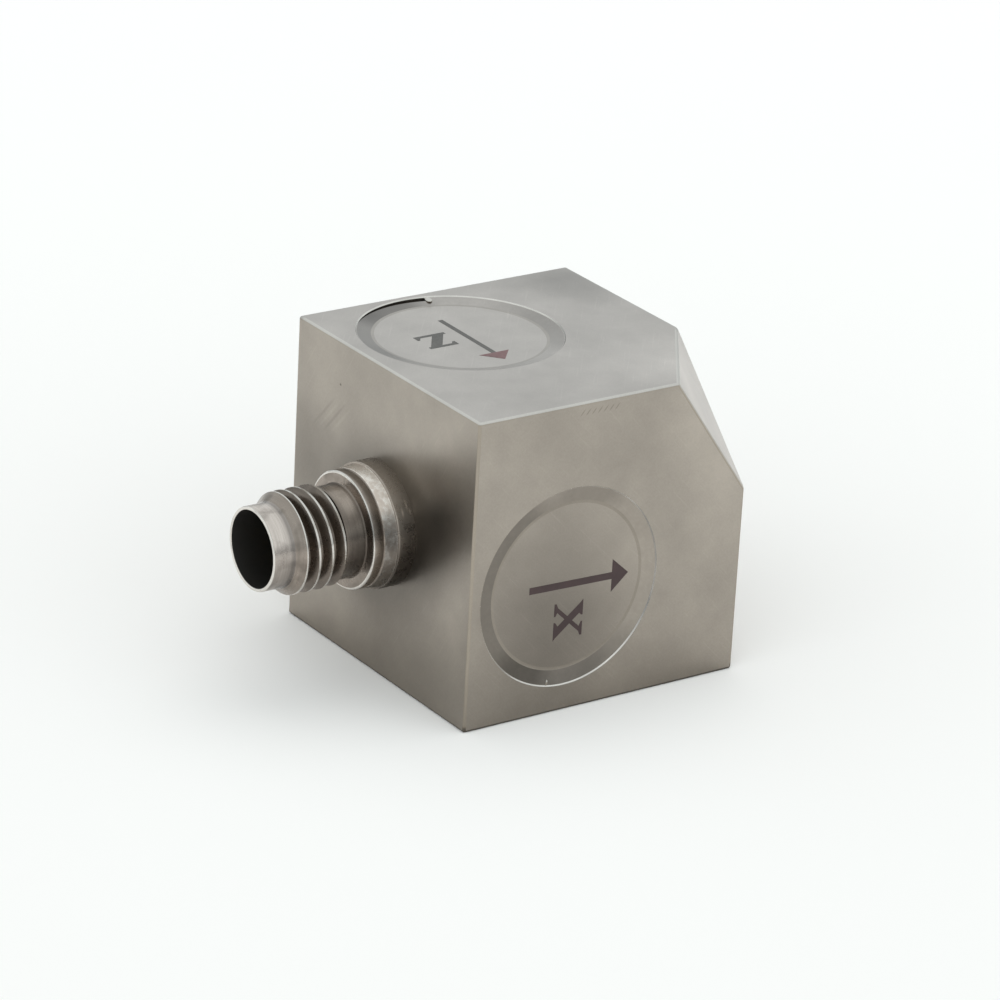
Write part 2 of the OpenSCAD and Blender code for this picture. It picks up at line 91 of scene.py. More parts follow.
class Axis(Enum):
    """Measuring directions: name, arrow, side of the arrow and outward normal of the cover."""

    X = ("x", (1, 0, 0), (0, 0, 1), (0, -1, 0))
    Y = ("y", (0, 0, 1), (0, -1, 0), (1, 0, 0))
    Z = ("z", (0, -1, 0), (1, 0, 0), (0, 0, 1))

    @property
    def word(self) -> str:
        """Name of the axis in node names."""
        return self.value[0]

    @property
    def outward(self) -> Vector:
        """Direction in which the cover of this axis looks."""
        return Vector(self.value[3])

    def at(self, place: Vector) -> Matrix:
        """Gives the matrix from the frame of a cover in this place to the part's frame."""
        turn = Matrix(self.value[1:]).transposed()
        return Matrix.Translation(place) @ turn.to_4x4()


def linear(colour: str) -> tuple[float, float, float, float]:
    """Turns an sRGB hex colour into linear light.

    Args:
        colour: Six hex digits.

    Returns:
        Linear red, green and blue, and an alpha of one.
    """
    shares = [int(colour[i : i + 2], 16) / 255 for i in (0, 2, 4)]
    light = [s / 12.92 if s <= 0.04045 else ((s + 0.055) / 1.055) ** 2.4 for s in shares]
    return (light[0], light[1], light[2], 1.0)


def add_node(
    tree: Tree,
    kind: str,
    inputs: dict[str | int, NodeValue] | None = None,
    **settings: object,
) -> bpy.types.Node:
    """Adds a node with its settings and links.

    Args:
        tree: Node tree that takes the node.
        kind: Blender's type name of the node.
        inputs: Value or linked socket for each input, by name or number.
        **settings: Properties of the node.

    Returns:
        The new node.
    """
    node = tree.nodes.new(kind)
    for key, value in settings.items():
        setattr(node, key, value)
    for key, value in (inputs or {}).items():
        if isinstance(value, Socket):
            tree.links.new(value, node.inputs[key])
        else:
            node.inputs[key].default_value = value
    return node


def empty_material(name: str) -> Material:
    """Makes a material without nodes.

    Args:
        name: Name of the material.

    Returns:
        The material.
    """
    material = bpy.data.materials.new(name)
    material.use_nodes = True
    material.node_tree.nodes.clear()
    return material


def box_mm(node: str) -> tuple[Vector, Vector]:
    """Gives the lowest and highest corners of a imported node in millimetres."""
    low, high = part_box(node)
    return low / MM, high / MM


def off_axis(face: Face) -> float:
    """Gives the distance of a face's middle from the Z axis."""
    return math.hypot(face.center.x, face.center.y)


def activate(piece: Piece) -> None:
    """Makes a piece the only selected object and the active one.

    Args:
        piece: Object to work on.
    """
    bpy.ops.object.select_all(action="DESELECT")
    piece.select_set(True)
    bpy.context.view_layer.objects.active = piece


def newest(name: str) -> Piece:
    """Names the piece that was added last.

    Args:
        name: Name of the object and of its mesh.

    Returns:
        The piece.
    """
    piece = bpy.context.object
    piece.name = piece.data.name = name
    return piece


@contextmanager
def editing(piece: Piece) -> Iterator[None]:
    """Keeps a piece in edit mode, with everything picked at first.

    Args:
        piece: Object whose mesh is edited.
    """
    activate(piece)
    bpy.ops.object.mode_set(mode="EDIT")
    bpy.ops.mesh.select_mode(type="VERT")
    bpy.ops.mesh.select_all(action="SELECT")
    yield
    bpy.ops.object.mode_set(mode="OBJECT")


def pick(piece: Piece, corner: Vector) -> None:
    """Selects the point in one corner of a piece, in edit mode.

    Args:
        piece: Object in edit mode.
        corner: Place of the point.
    """
    bpy.ops.mesh.select_all(action="DESELECT")
    mesh = bmesh.from_edit_mesh(piece.data)
    for point in mesh.verts:
        if (point.co - corner).length < HAIR / 10:
            point.select_set(True)
    mesh.select_flush_mode()
    bmesh.update_edit_mesh(piece.data)


def mend() -> None:
    """Merges doubles and turns the normals outwards, in edit mode."""
    bpy.ops.mesh.select_mode(type="VERT")
    bpy.ops.mesh.select_all(action="SELECT")
    bpy.ops.mesh.remove_doubles(threshold=1e-4)
    bpy.ops.mesh.normals_make_consistent(inside=False)


def draw(name: str, points: Sequence[Triple]) -> Piece:
    """Draws an open line by extruding one point after another.

    Args:
        name: Name of the new object.
        points: Corners of the line in millimetres.

    Returns:
        An object that holds the line.
    """
    bpy.ops.mesh.primitive_plane_add(size=1)
    piece = newest(name)
    with editing(piece):
        bpy.ops.mesh.merge(type="CENTER")
        bpy.ops.transform.translate(value=points[0])
        for here, ahead in zip(points, points[1:]):
            step = Vector(ahead) - Vector(here)
            bpy.ops.mesh.extrude_region_move(TRANSFORM_OT_translate={"value": step})
    return piece


def lathe(
    name: str,
    profile: Sequence[tuple[float, float]],
    steps: int = 128,
    turn: float = 360.0,
    rounds: dict[int, float] | None = None,
) -> Piece:
    """Spins a profile about Z, from X towards Y.

    Args:
        name: Name of the new object.
        profile: Radius and height of each corner. A ring repeats its first corner at the end.
        steps: Number of faces round the axis.
        turn: Angle of the spin in degrees; a part turn gets closed ends.
        rounds: Rounding of single corners in millimetres, by their number in the profile.

    Returns:
        The turned solid.
    """
    piece = draw(name, [(r, 0.0, z) for r, z in profile])
    with editing(piece):
        for i, size in (rounds or {}).items():
            pick(piece, Vector((profile[i][0], 0.0, profile[i][1])))
            bpy.ops.mesh.bevel(offset=size, segments=3, affect="VERTICES")
        bpy.ops.mesh.select_all(action="SELECT")
        angle = math.radians(turn)
        bpy.ops.mesh.spin(steps=steps, angle=angle, center=(0, 0, 0), axis=(0, 0, -1))
        mend()
        if turn < 360.0:
            bpy.ops.mesh.fill_holes(sides=0)
            mend()
    return piece


def cylinder(name: str, radius: float, low: float, high: float, steps: int = 128) -> Piece:
    """Makes a cylinder along Z, by its radius and the heights of its ends."""
    return lathe(name, [(0.0, low), (radius, low), (radius, high), (0.0, high)], steps)


def plate(
    name: str, outline: Sequence[tuple[float, float]], low: float, high: float
) -> Piece:
    """Makes a flat plate from its outline.

    Args:
        name: Name of the new object.
        outline: Corners in the XY plane.
        low: Height of the underside.
        high: Height of the upper side.

    Returns:
        The plate.
    """
    piece = draw(name, [(x, y, low) for x, y in outline])
    with editing(piece):
        bpy.ops.mesh.edge_face_add()
        bpy.ops.mesh.extrude_region_move(TRANSFORM_OT_translate={"value": (0, 0, high - low)})
        mend()
    return piece


def place(piece: Piece, matrix: Matrix) -> Piece:
    """Moves a piece and puts its place into its mesh.

    Args:
        piece: Object to move.
        matrix: Where it goes.

    Returns:
        The same piece.
    """
    activate(piece)
    piece.matrix_world = matrix
    bpy.ops.object.transform_apply(location=True, rotation=True, scale=True)
    return piece


def combine(piece: Piece, tool: Piece, how: Join) -> None:
    """Cuts, adds or intersects a piece with a tool, which is used up.

    Args:
        piece: Solid that stays.
        tool: Solid that is used up.
        how: Kind of combination.
    """
    modifier = piece.modifiers.new("combine", "BOOLEAN")
    modifier.operation = how.value
    modifier.solver = "EXACT"
    modifier.material_mode = "TRANSFER"
    modifier.object = tool
    activate(piece)
    bpy.ops.object.modifier_apply(modifier=modifier.name)
    bpy.data.objects.remove(tool)


def dress(piece: Piece, finish: Material) -> None:
    """Gives every face of a piece the same material."""
    piece.data.materials.clear()
    piece.data.materials.append(finish)


def paint(piece: Piece, finish: Material, test: Callable[[Face], bool]) -> None:
    """Gives some faces of a piece another material.

    Args:
        piece: Dressed object.
        finish: Material that it may already have.
        test: Says whether a face gets that material.
    """
    if finish.name not in piece.data.materials:
        piece.data.materials.append(finish)
    number = piece.data.materials.find(finish.name)
    for face in piece.data.polygons:
        if test(face):
            face.material_index = number


def complete(
    piece: Piece, nodes: Sequence[str] = (), crease: float = 30.0
) -> None:
    """Brings a dressed piece to metres, shades it and ties it to the frame.

    Args:
        piece: Finished mesh in millimetres.
        nodes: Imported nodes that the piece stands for.
        crease: Angle in degrees above which an edge stays sharp.
    """
    place(piece, Matrix.Scale(MM, 4))
    bpy.ops.object.shade_smooth_by_angle(angle=math.radians(crease))
    weighted = piece.modifiers.new("weighted", "WEIGHTED_NORMAL")
    weighted.keep_sharp = True
    bpy.ops.object.modifier_apply(modifier=weighted.name)
    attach(piece, "root")
    if nodes:
        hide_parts(*nodes)
    LOG.info("%s: %d faces", piece.name, len(piece.data.polygons))


@dataclass(frozen=True)
class SoftPatch:
    """A soft darker or lighter place on a surface, which draws a mark, a scratch when it is long
    and thin, and painted light and shade.

    Attributes:
        place: Its middle in millimetres.
        reach: Half lengths at which it ends, along its own X, Y and Z.
        shade: Factor on the colour in the middle.
        core: Share of the reach within which the shade is full.
        turn: Angles about X, Y and Z in radians.
    """

    place: Triple
    reach: Triple
    shade: float
    core: float = 0.0
    turn: Triple = (0.0, 0.0, 0.0)


@dataclass(frozen=True)
class Pattern:
    """What the pattern of a finish drives.

    Attributes:
        colour: Colour before any layers.
        layers: Factors on the colour, one after another.
        spots: Pattern that the roughness follows.
        rough: Roughness at the low and the high end of that pattern.
        relief: Height from zero to one.
    """

    colour: NodeValue
    layers: Sequence[Socket]
    spots: Socket
    rough: tuple[float, float]
    relief: Socket


@dataclass(frozen=True)
class Finish:
    """A plainly mottled finish with one main colour, which others build on.

    Attributes:
        name: What the material is and how its surface was made.
        colour: Main colour, sRGB hex.
        roughness: Mean roughness.
        metallic: One for a metal.
        grain_mm: Size of the finest pattern.
        relief_mm: Height of that pattern.
        mottle: Share of lighter and darker patches in the colour.
        soft_patches: Single darker or lighter places, marks and painted light and shade.
    """

    name: str
    colour: str
    roughness: float
    metallic: float = 0.0
    grain_mm: float = 0.1
    relief_mm: float = 0.002
    mottle: float = 0.1
    soft_patches: tuple[SoftPatch, ...] = ()

    def material(self) -> Material:
        """Makes the material.

        Returns:
            The material with its pattern and soft patches.
        """
        material = empty_material(self.name)
        tree = material.node_tree
        place_m = add_node(tree, "ShaderNodeTexCoord").outputs["Object"]
        scale = {"Vector": place_m, "Scale": (1 / MM, 1 / MM, 1 / MM)}
        where = add_node(tree, "ShaderNodeMapping", scale).outputs[0]
        pattern = self.pattern(tree, where)
        colour = pattern.colour
        for layer in (*pattern.layers, *self.shades(tree, where)):
            colour = add_node(
                tree,
                "ShaderNodeMix",
                {0: 1.0, 6: colour, 7: layer},
                data_type="RGBA",
                blend_type="MULTIPLY",
            ).outputs[2]
        (low, high), (first, last) = NOISE_RANGE, pattern.rough
        rough = add_node(
            tree, "ShaderNodeMapRange", {0: pattern.spots, 1: low, 2: high, 3: first, 4: last}
        )
        bump = add_node(
            tree,
            "ShaderNodeBump",
            {"Strength": 1.0, "Distance": self.relief_mm * MM, "Height": pattern.relief},
        )
        shader = add_node(
            tree,
            "ShaderNodeBsdfPrincipled",
            {
                "Base Color": colour,
                "Roughness": rough.outputs[0],
                "Metallic": self.metallic,
                "Normal": bump.outputs[0],
            },
        )
        add_node(tree, "ShaderNodeOutputMaterial", {"Surface": shader.outputs[0]})
        return material

    def pattern(self, tree: Tree, where: Socket) -> Pattern:
        """Draws the mottled pattern.

        Args:
            tree: Node tree of the material.
            where: Place in millimetres.

        Returns:
            Colour, roughness and relief.
        """
        grain, patch = (
            add_node(
                tree, "ShaderNodeTexNoise", {"Vector": where, "Scale": per_mm, "Detail": detail}
            ).outputs[0]
            for per_mm, detail in ((1 / self.grain_mm, 3.0), (0.12 / self.grain_mm, 4.0))
        )
        low, high = NOISE_RANGE
        tone = add_node(
            tree,
            "ShaderNodeMapRange",
            {0: patch, 1: low, 2: high, 3: 1 - self.mottle, 4: 1 + self.mottle},
        )
        rough = (self.roughness - 0.06, self.roughness + 0.06)
        return Pattern(linear(self.colour), [tone.outputs[0]], grain, rough, grain)

    def shades(self, tree: Tree, where: Socket) -> list[Socket]:
        """Draws the soft patches.

        Args:
            tree: Node tree of the material.
            where: Place in millimetres.

        Returns:
            The factor on the colour that each of them gives.
        """
        factors = []
        for soft_patch in self.soft_patches:
            inside = add_node(
                tree,
                "ShaderNodeMapping",
                {
                    "Vector": where,
                    "Location": soft_patch.place,
                    "Rotation": soft_patch.turn,
                    "Scale": soft_patch.reach,
                },
                vector_type="TEXTURE",
            )
            away = add_node(
                tree, "ShaderNodeVectorMath", {0: inside.outputs[0]}, operation="LENGTH"
            )
            factor = add_node(
                tree,
                "ShaderNodeMapRange",
                {0: away.outputs["Value"], 1: soft_patch.core, 2: 1.0, 3: soft_patch.shade, 4: 1.0},
                interpolation_type="SMOOTHSTEP",
            )
            factors.append(factor.outputs[0])
        return factors


@dataclass(frozen=True)
class GroundMetal(Finish):
    """Fine-ground titanium: warm grey, satin, with soft clouds, soft patches of marks and painted
    light, scratches, and painted shade on upright faces.

    Attributes:
        cloud_mm: Size of the broad lighter and darker clouds.
        stain_mm: Size of the smaller stains.
        scratch: Share by which scratches are lighter.
        scratch_mm: Length, width and depth of a scratch, drawn wider than the real 0.03 mm.
        scratch_turns: Direction of the scratches on the faces that look along X, Y and Z.
        film: Colour of the painted shade on upright faces, which makes them darker and warmer than
            the top, sRGB hex.
    """

    metallic: float = 1.0
    mottle: float = 0.075
    cloud_mm: float = 6.0
    stain_mm: float = 2.2
    scratch: float = 0.08
    scratch_mm: Triple = (3.2, 0.11, 0.11)
    scratch_turns: tuple[Triple, ...] = ((0.0, 1.0, 1.571), (0.0, 0.8, 0.0), (0.0, 0.0, 0.9))
    film: str = "E2DFD8"

    def pattern(self, tree: Tree, where: Socket) -> Pattern:
        """Draws clouds, stains, grit, scratches and the painted shade of upright faces.

        Args:
            tree: Node tree of the material.
            where: Place in millimetres.

        Returns:
            Colour, roughness and relief.
        """
        # Grit of about 0.02 mm, drawn at grain_mm so that it shows in the render.
        sizes = (
            (self.cloud_mm, self.mottle),
            (self.stain_mm, 0.6 * self.mottle),
            (self.grain_mm, 0.04),
        )
        low, high = NOISE_RANGE
        layers = []
        for size, spread in sizes:
            patches = add_node(
                tree,
                "ShaderNodeTexNoise",
                {"Vector": where, "Scale": 1 / size, "Detail": 3.0, "Roughness": 0.55},
            )
            tone = add_node(
                tree,
                "ShaderNodeMapRange",
                {0: patches.outputs[0], 1: low, 2: high, 3: 1 - spread, 4: 1 + spread},
            )
            layers.append(tone.outputs[0])
        # Each set of scratches shows on one pair of faces.
        normal = add_node(tree, "ShaderNodeNewGeometry").outputs["Normal"]
        facing = add_node(tree, "ShaderNodeSeparateXYZ", {0: normal}).outputs
        for side, turn in enumerate(self.scratch_turns):
            along = add_node(
                tree,
                "ShaderNodeMapping",
                {"Vector": where, "Rotation": turn, "Scale": self.scratch_mm},
                vector_type="TEXTURE",
            )
            lines = add_node(
                tree,
                "ShaderNodeTexNoise",
                {"Vector": along.outputs[0], "Scale": 1.0, "Detail": 1.0},
            )
            shine = add_node(
                tree, "ShaderNodeMapRange", {0: lines.outputs[0], 1: 0.62, 2: 0.8, 3: 0.0, 4: 1.0}
            )
            flat = add_node(tree, "ShaderNodeMath", {0: facing[side], 1: 6.0}, operation="POWER")
            depth = add_node(
                tree, "ShaderNodeMath", {0: flat.outputs[0], 1: self.scratch}, operation="MULTIPLY"
            )
            layer = add_node(
                tree,
                "ShaderNodeMath",
                {0: shine.outputs[0], 1: depth.outputs[0], 2: 1.0},
                operation="MULTIPLY_ADD",
            )
            layers.append(layer.outputs[0])
        # Painted shade: upright faces get a darker, warmer colour than faces that look up.
        lying = add_node(
            tree, "ShaderNodeMapRange", {0: facing[2], 1: 0.15, 2: 0.45, 3: 0.0, 4: 1.0}
        )
        film = add_node(
            tree,
            "ShaderNodeMix",
            {0: lying.outputs[0], 6: linear(self.film), 7: linear("FFFFFF")},
            data_type="RGBA",
        )
        layers.append(film.outputs[2])
        grit = add_node(
            tree,
            "ShaderNodeTexNoise",
            {"Vector": where, "Scale": 1 / self.grain_mm, "Detail": 2.0},
        ).outputs[0]
        rough = (self.roughness - 0.02, self.roughness + 0.02)
        return Pattern(linear(self.colour), layers, grit, rough, grit)


@dataclass(frozen=True)
class FleckedMetal(Finish):
    """Spotted metal with small bright flecks, which are glossier.

    Attributes:
        fleck: Colour of the flecks, sRGB hex.
        fleck_mm: Spacing of the flecks.
        bare: Noise level below which there are none.
    """

    metallic: float = 1.0
    fleck: str = "B0AAA3"
    fleck_mm: float = 0.5
    bare: float = 0.58

    def pattern(self, tree: Tree, where: Socket) -> Pattern:
        """Draws the flecks.

        Args:
            tree: Node tree of the material.
            where: Place in millimetres.

        Returns:
            Colour, roughness and relief.
        """
        flecks = add_node(
            tree,
            "ShaderNodeTexNoise",
            {"Vector": where, "Scale": 1 / self.fleck_mm, "Detail": 4.0, "Roughness": 0.7},
        ).outputs[0]
        share = add_node(
            tree,
            "ShaderNodeMapRange",
            {0: flecks, 1: self.bare, 2: self.bare + 0.14, 3: 0.0, 4: 0.8},
        )
        colour = add_node(
            tree,
            "ShaderNodeMix",
            {0: share.outputs[0], 6: linear(self.colour), 7: linear(self.fleck)},
            data_type="RGBA",
        )
        rough = (self.roughness + 0.1, self.roughness - 0.1)
        return Pattern(colour.outputs[2], [], flecks, rough, flecks)


@dataclass(frozen=True)
class TurnedMetal(Finish):
    """Steel from the lathe: brighter, with fine rings round the turning axis along X.

    Attributes:
        feed_mm: Spacing of the turning marks, drawn coarser than real so that they show.
        dirt_and_shade: Colour of the dirt patches, sRGB hex.
    """

    metallic: float = 1.0
    feed_mm: float = 0.12
    dirt_and_shade: str = "5C554E"

    def pattern(self, tree: Tree, where: Socket) -> Pattern:
        """Draws rings and dirt.

        Args:
            tree: Node tree of the material.
            where: Place in millimetres.

        Returns:
            Colour, roughness and relief.
        """
        squeeze = {"Vector": where, "Scale": (1 / self.feed_mm, 0.25, 0.25)}
        squeezed = add_node(tree, "ShaderNodeMapping", squeeze).outputs[0]
        rings = add_node(
            tree,
            "ShaderNodeTexNoise",
            {"Vector": squeezed, "Scale": 1.0, "Detail": 2.0, "Roughness": 0.6},
        ).outputs[0]
        dirt = add_node(
            tree, "ShaderNodeTexNoise", {"Vector": where, "Scale": 0.9, "Detail": 5.0}
        ).outputs[0]
        share = add_node(tree, "ShaderNodeMapRange", {0: dirt, 1: 0.48, 2: 0.72, 3: 0.0, 4: 0.5})
        colour = add_node(
            tree,
            "ShaderNodeMix",
            {0: share.outputs[0], 6: linear(self.colour), 7: linear(self.dirt_and_shade)},
            data_type="RGBA",
        )
        low, high = NOISE_RANGE
        shine = add_node(tree, "ShaderNodeMapRange", {0: rings, 1: low, 2: high, 3: 0.88, 4: 1.1})
        rough = (self.roughness - 0.05, self.roughness + 0.1)
        return Pattern(colour.outputs[2], [shine.outputs[0]], dirt, rough, rings)


@dataclass(frozen=True)
class Thread:
    """A 60-degree screw thread.

    Attributes:
        crest: Outer radius.
        root: Inner radius.
        pitch: Advance in one turn.
        shift: Place of the crest along the axis.
        half_angle: Angle of a flank in degrees.
        least_flat: Least share of the pitch that crest and root take together.
        crest_share: Share of the crest in that.
        steps: Faces in one turn.
    """

    crest: float
    root: float
    pitch: float
    shift: float = 0.0
    half_angle: float = 30.0
    least_flat: float = 0.2
    crest_share: float = 0.45
    steps: int = 96

    def rod(self, name: str, low: float, high: float) -> Piece:
        """Models a threaded rod along Z.

        Args:
            name: Name of the new object.
            low: Height of its lower end.
            high: Height of its upper end.

        Returns:
            The rod, with flat closed ends.
        """
        slope = (self.crest - self.root) * math.tan(math.radians(self.half_angle))
        flat = max(self.pitch - 2 * slope, self.least_flat * self.pitch)
        top, flank = self.crest_share * flat, (self.pitch - flat) / 2
        start = low - self.pitch + self.shift
        stops = [0.0, flank, flank + top, 2 * flank + top, self.pitch]
        radii = [self.root, self.crest, self.crest, self.root, self.root]
        piece = draw(name, [(r, 0.0, start + z) for r, z in zip(radii, stops)])
        screw = piece.modifiers.new("screw", "SCREW")
        screw.axis = "Z"
        screw.screw_offset = self.pitch
        screw.iterations = math.ceil((high - low) / self.pitch) + 2
        screw.steps = screw.render_steps = self.steps
        activate(piece)
        bpy.ops.object.modifier_apply(modifier=screw.name)
        with editing(piece):
            mend()
            for height, lower in ((low, True), (high, False)):
                bpy.ops.mesh.select_all(action="SELECT")
                bpy.ops.mesh.bisect(
                    plane_co=(0, 0, height),
                    plane_no=(0, 0, 1),
                    use_fill=True,
                    clear_inner=lower,
                    clear_outer=not lower,
                    threshold=1e-5,
                )
            mend()
        return piece


@dataclass
class Housing:
    """The ground block with its cut corner, seats, cavities, wiring chamber and tapped hole.

    Attributes:
        low: Lowest corner.
        high: Highest corner.
        cut: Lengths that the corner cut takes off the edges along X, Y and Z.
        edge: Rounding of the broken edges.
        seat_t: Depth of a cover's seat.
        seat_gap: Gap round a cover.
        mouth: Bevel at the mouth of a seat.
        board_r: Radius of the ledge's bore for a board.
        board_depth: Depth of that bore.
        cavity_r: Radius of a cavity.
        cavity_depth: Depth of a cavity.
        chamber_r: Radius of the wiring chamber.
        chamber_depth: Depth of the wiring chamber.
        passage_r: Radius of the drilled lead passages.
        passages: First and last point of each passage.
        sink: Depth of the mounting hole's countersink.
        tap_height: Height of its thread.
        tap_pitch: Pitch of its thread.
        drill_half: Half angle of the drill's point in degrees.
    """

    low: Vector
    high: Vector
    cut: Triple = (5.6, 7.9, 7.9)
    edge: float = 0.16
    seat_t: float = 1.0
    seat_gap: float = 0.02
    mouth: float = 0.07
    board_r: float = 4.85
    board_depth: float = 2.2
    cavity_r: float = 4.5
    cavity_depth: float = 6.3
    chamber_r: float = 2.9
    chamber_depth: float = 8.2
    passage_r: float = 0.4
    passages: tuple[tuple[Vector, Vector], ...] = (
        (Vector((-6.117, 0.0, 10.43)), Vector((-6.117, -3.8, 10.43))),
        (Vector((-2.0, -0.099, 10.12)), Vector((3.8, -0.099, 10.12))),
        (Vector((-5.33, 0.18, 10.0)), Vector((-5.33, 0.18, 13.8))),
    )
    sink: float = 0.4
    tap_height: float = 0.38
    tap_pitch: float = 0.8
    drill_half: float = 59.0

    @property
    def middle_z(self) -> float:
        """Height of the connector's axis and of the mounting hole."""
        return (self.low.z + self.high.z) / 2

    @property
    def facet(self) -> tuple[Vector, Vector]:
        """A point on the cut corner and the direction in which it looks."""
        ahead = Vector((1 / self.cut[0], -1 / self.cut[1], 1 / self.cut[2]))
        return Vector((self.high.x - self.cut[0], self.low.y, self.high.z)), ahead.normalized()

    def block(self) -> Piece:
        """Models the outer form.

        Returns:
            A cube with its corner cut off and rounded edges.
        """
        middle, size = (self.low + self.high) / 2, self.high - self.low
        bpy.ops.mesh.primitive_cube_add(size=1, location=middle, scale=size)
        piece = newest("housing_body")
        place(piece, piece.matrix_world.copy())
        corner, ahead = self.facet
        with editing(piece):
            bpy.ops.mesh.bisect(
                plane_co=corner,
                plane_no=ahead,
                use_fill=True,
                clear_outer=True,
                threshold=1e-5,
            )
            bpy.ops.mesh.select_all(action="SELECT")
            bpy.ops.mesh.bevel(offset=self.edge, segments=3, affect="EDGES")
            mend()
        return piece

    def seat_tool(self, cover: "Cover") -> Piece:
        """Models what a cover's seat and cavity take out of the block.

        Args:
            cover: Cover that sits there.

        Returns:
            The cutting tool in its place.
        """
        r = cover.radius + self.seat_gap
        tool = lathe(
            "seat_tool",
            [
                (0.0, -self.cavity_depth),
                (self.cavity_r, -self.cavity_depth),
                (self.cavity_r, -self.board_depth),
                (self.board_r, -self.board_depth),
                (self.board_r, -self.seat_t),
                (r, -self.seat_t),
                (r, -self.mouth),
                (r + self.mouth, 0.0),
                (r + self.mouth + PAST, PAST),
                (0.0, PAST),
            ],
            steps=COVER_STEPS,
        )
        return place(tool, cover.matrix)

    def build(self, covers: Sequence["Cover"], palette: "Palette") -> None:
        """Models and dresses the housing.

        Args:
            covers: The covers whose seats it has.
            palette: Materials.
        """
        piece = self.block()
        dress(piece, palette.ground)
        for cover in covers:
            combine(piece, self.seat_tool(cover), Join.CUT)
        chamber = cylinder("chamber_tool", self.chamber_r, -self.chamber_depth, PAST)
        outward = Matrix.Rotation(math.radians(-90), 4, "Y")
        at = Matrix.Translation((self.low.x, 0, self.middle_z)) @ outward
        combine(piece, place(chamber, at), Join.CUT)
        for begin, end in self.passages:
            run = end - begin
            drill = cylinder("passage_tool", self.passage_r, 0.0, run.length, steps=32)
            turn = run.to_track_quat("Z", "Y").to_matrix().to_4x4()
            combine(piece, place(drill, Matrix.Translation(begin) @ turn), Join.CUT)
        combine(piece, self.tap(), Join.CUT)
        # Broken edges: polished and lighter as painted highlight.
        paint(piece, palette.edge, self.on_edge)
        # Seats' mouths: rubbed bright and lighter as painted highlight.
        for cover in covers:
            paint(piece, palette.glint, lambda face: self.on_mouth(face, cover))
        complete(piece, ["housing"])

    def on_mouth(self, face: Face, cover: "Cover") -> bool:
        """Says whether a face is part of the bevel at a seat's mouth.

        Args:
            face: Face of the finished mesh.
            cover: Cover that sits there.

        Returns:
            Whether it lies slanted beside the cover's rim.
        """
        local = cover.matrix.inverted() @ face.center
        away = math.hypot(local.x, local.y) - cover.radius
        slant = face.normal.dot(cover.axis.outward)
        wide, deep = 0.15, 0.1
        beside = -HAIR < away < wide and -deep < local.z < HAIR
        return beside and SLANT[0] < slant < SLANT[1]

    def on_edge(self, face: Face) -> bool:
        """Says whether a face is part of a broken edge.

        Args:
            face: Face of the finished mesh.

        Returns:
            Whether it lies slanted within the depth of a bevel.
        """
        planes = [self.facet]
        for ahead in Matrix.Identity(3):
            planes += [(self.high, ahead), (self.low, -ahead)]
        deep = self.edge + 2 * HAIR
        return any(
            abs((face.center - point).dot(ahead)) < deep
            and SLANT[0] < face.normal.dot(ahead) < SLANT[1]
            for point, ahead in planes
        )

    def tap(self) -> Piece:
        """Models what drill, countersink and tap take out of the mounting face.

        Returns:
            The cutting tool in its place.
        """
        mount = next(m for m in frame["record"]["mounts"] if m["name"] == "mounting_hole")
        r = mount["dims"]["r_mm"]
        depth = self.high.y - mount["pos_m"][1] / MM + mount["dims"]["length_mm"]
        above = 0.3
        thread = Thread(crest=r + self.tap_height, root=r - HAIR, pitch=self.tap_pitch)
        tool = thread.rod("tap_tool", -depth, above)
        drill = lathe(
            "drill_tool",
            [
                (0.0, -depth - r / math.tan(math.radians(self.drill_half))),
                (r, -depth),
                (r, -self.sink),
                (r + self.sink + PAST, PAST),
                (0.0, PAST),
            ],
        )
        combine(tool, drill, Join.ADD)
        outward = Matrix.Rotation(math.radians(-90), 4, "X")
        return place(tool, Matrix.Translation((0, self.high.y, self.middle_z)) @ outward)


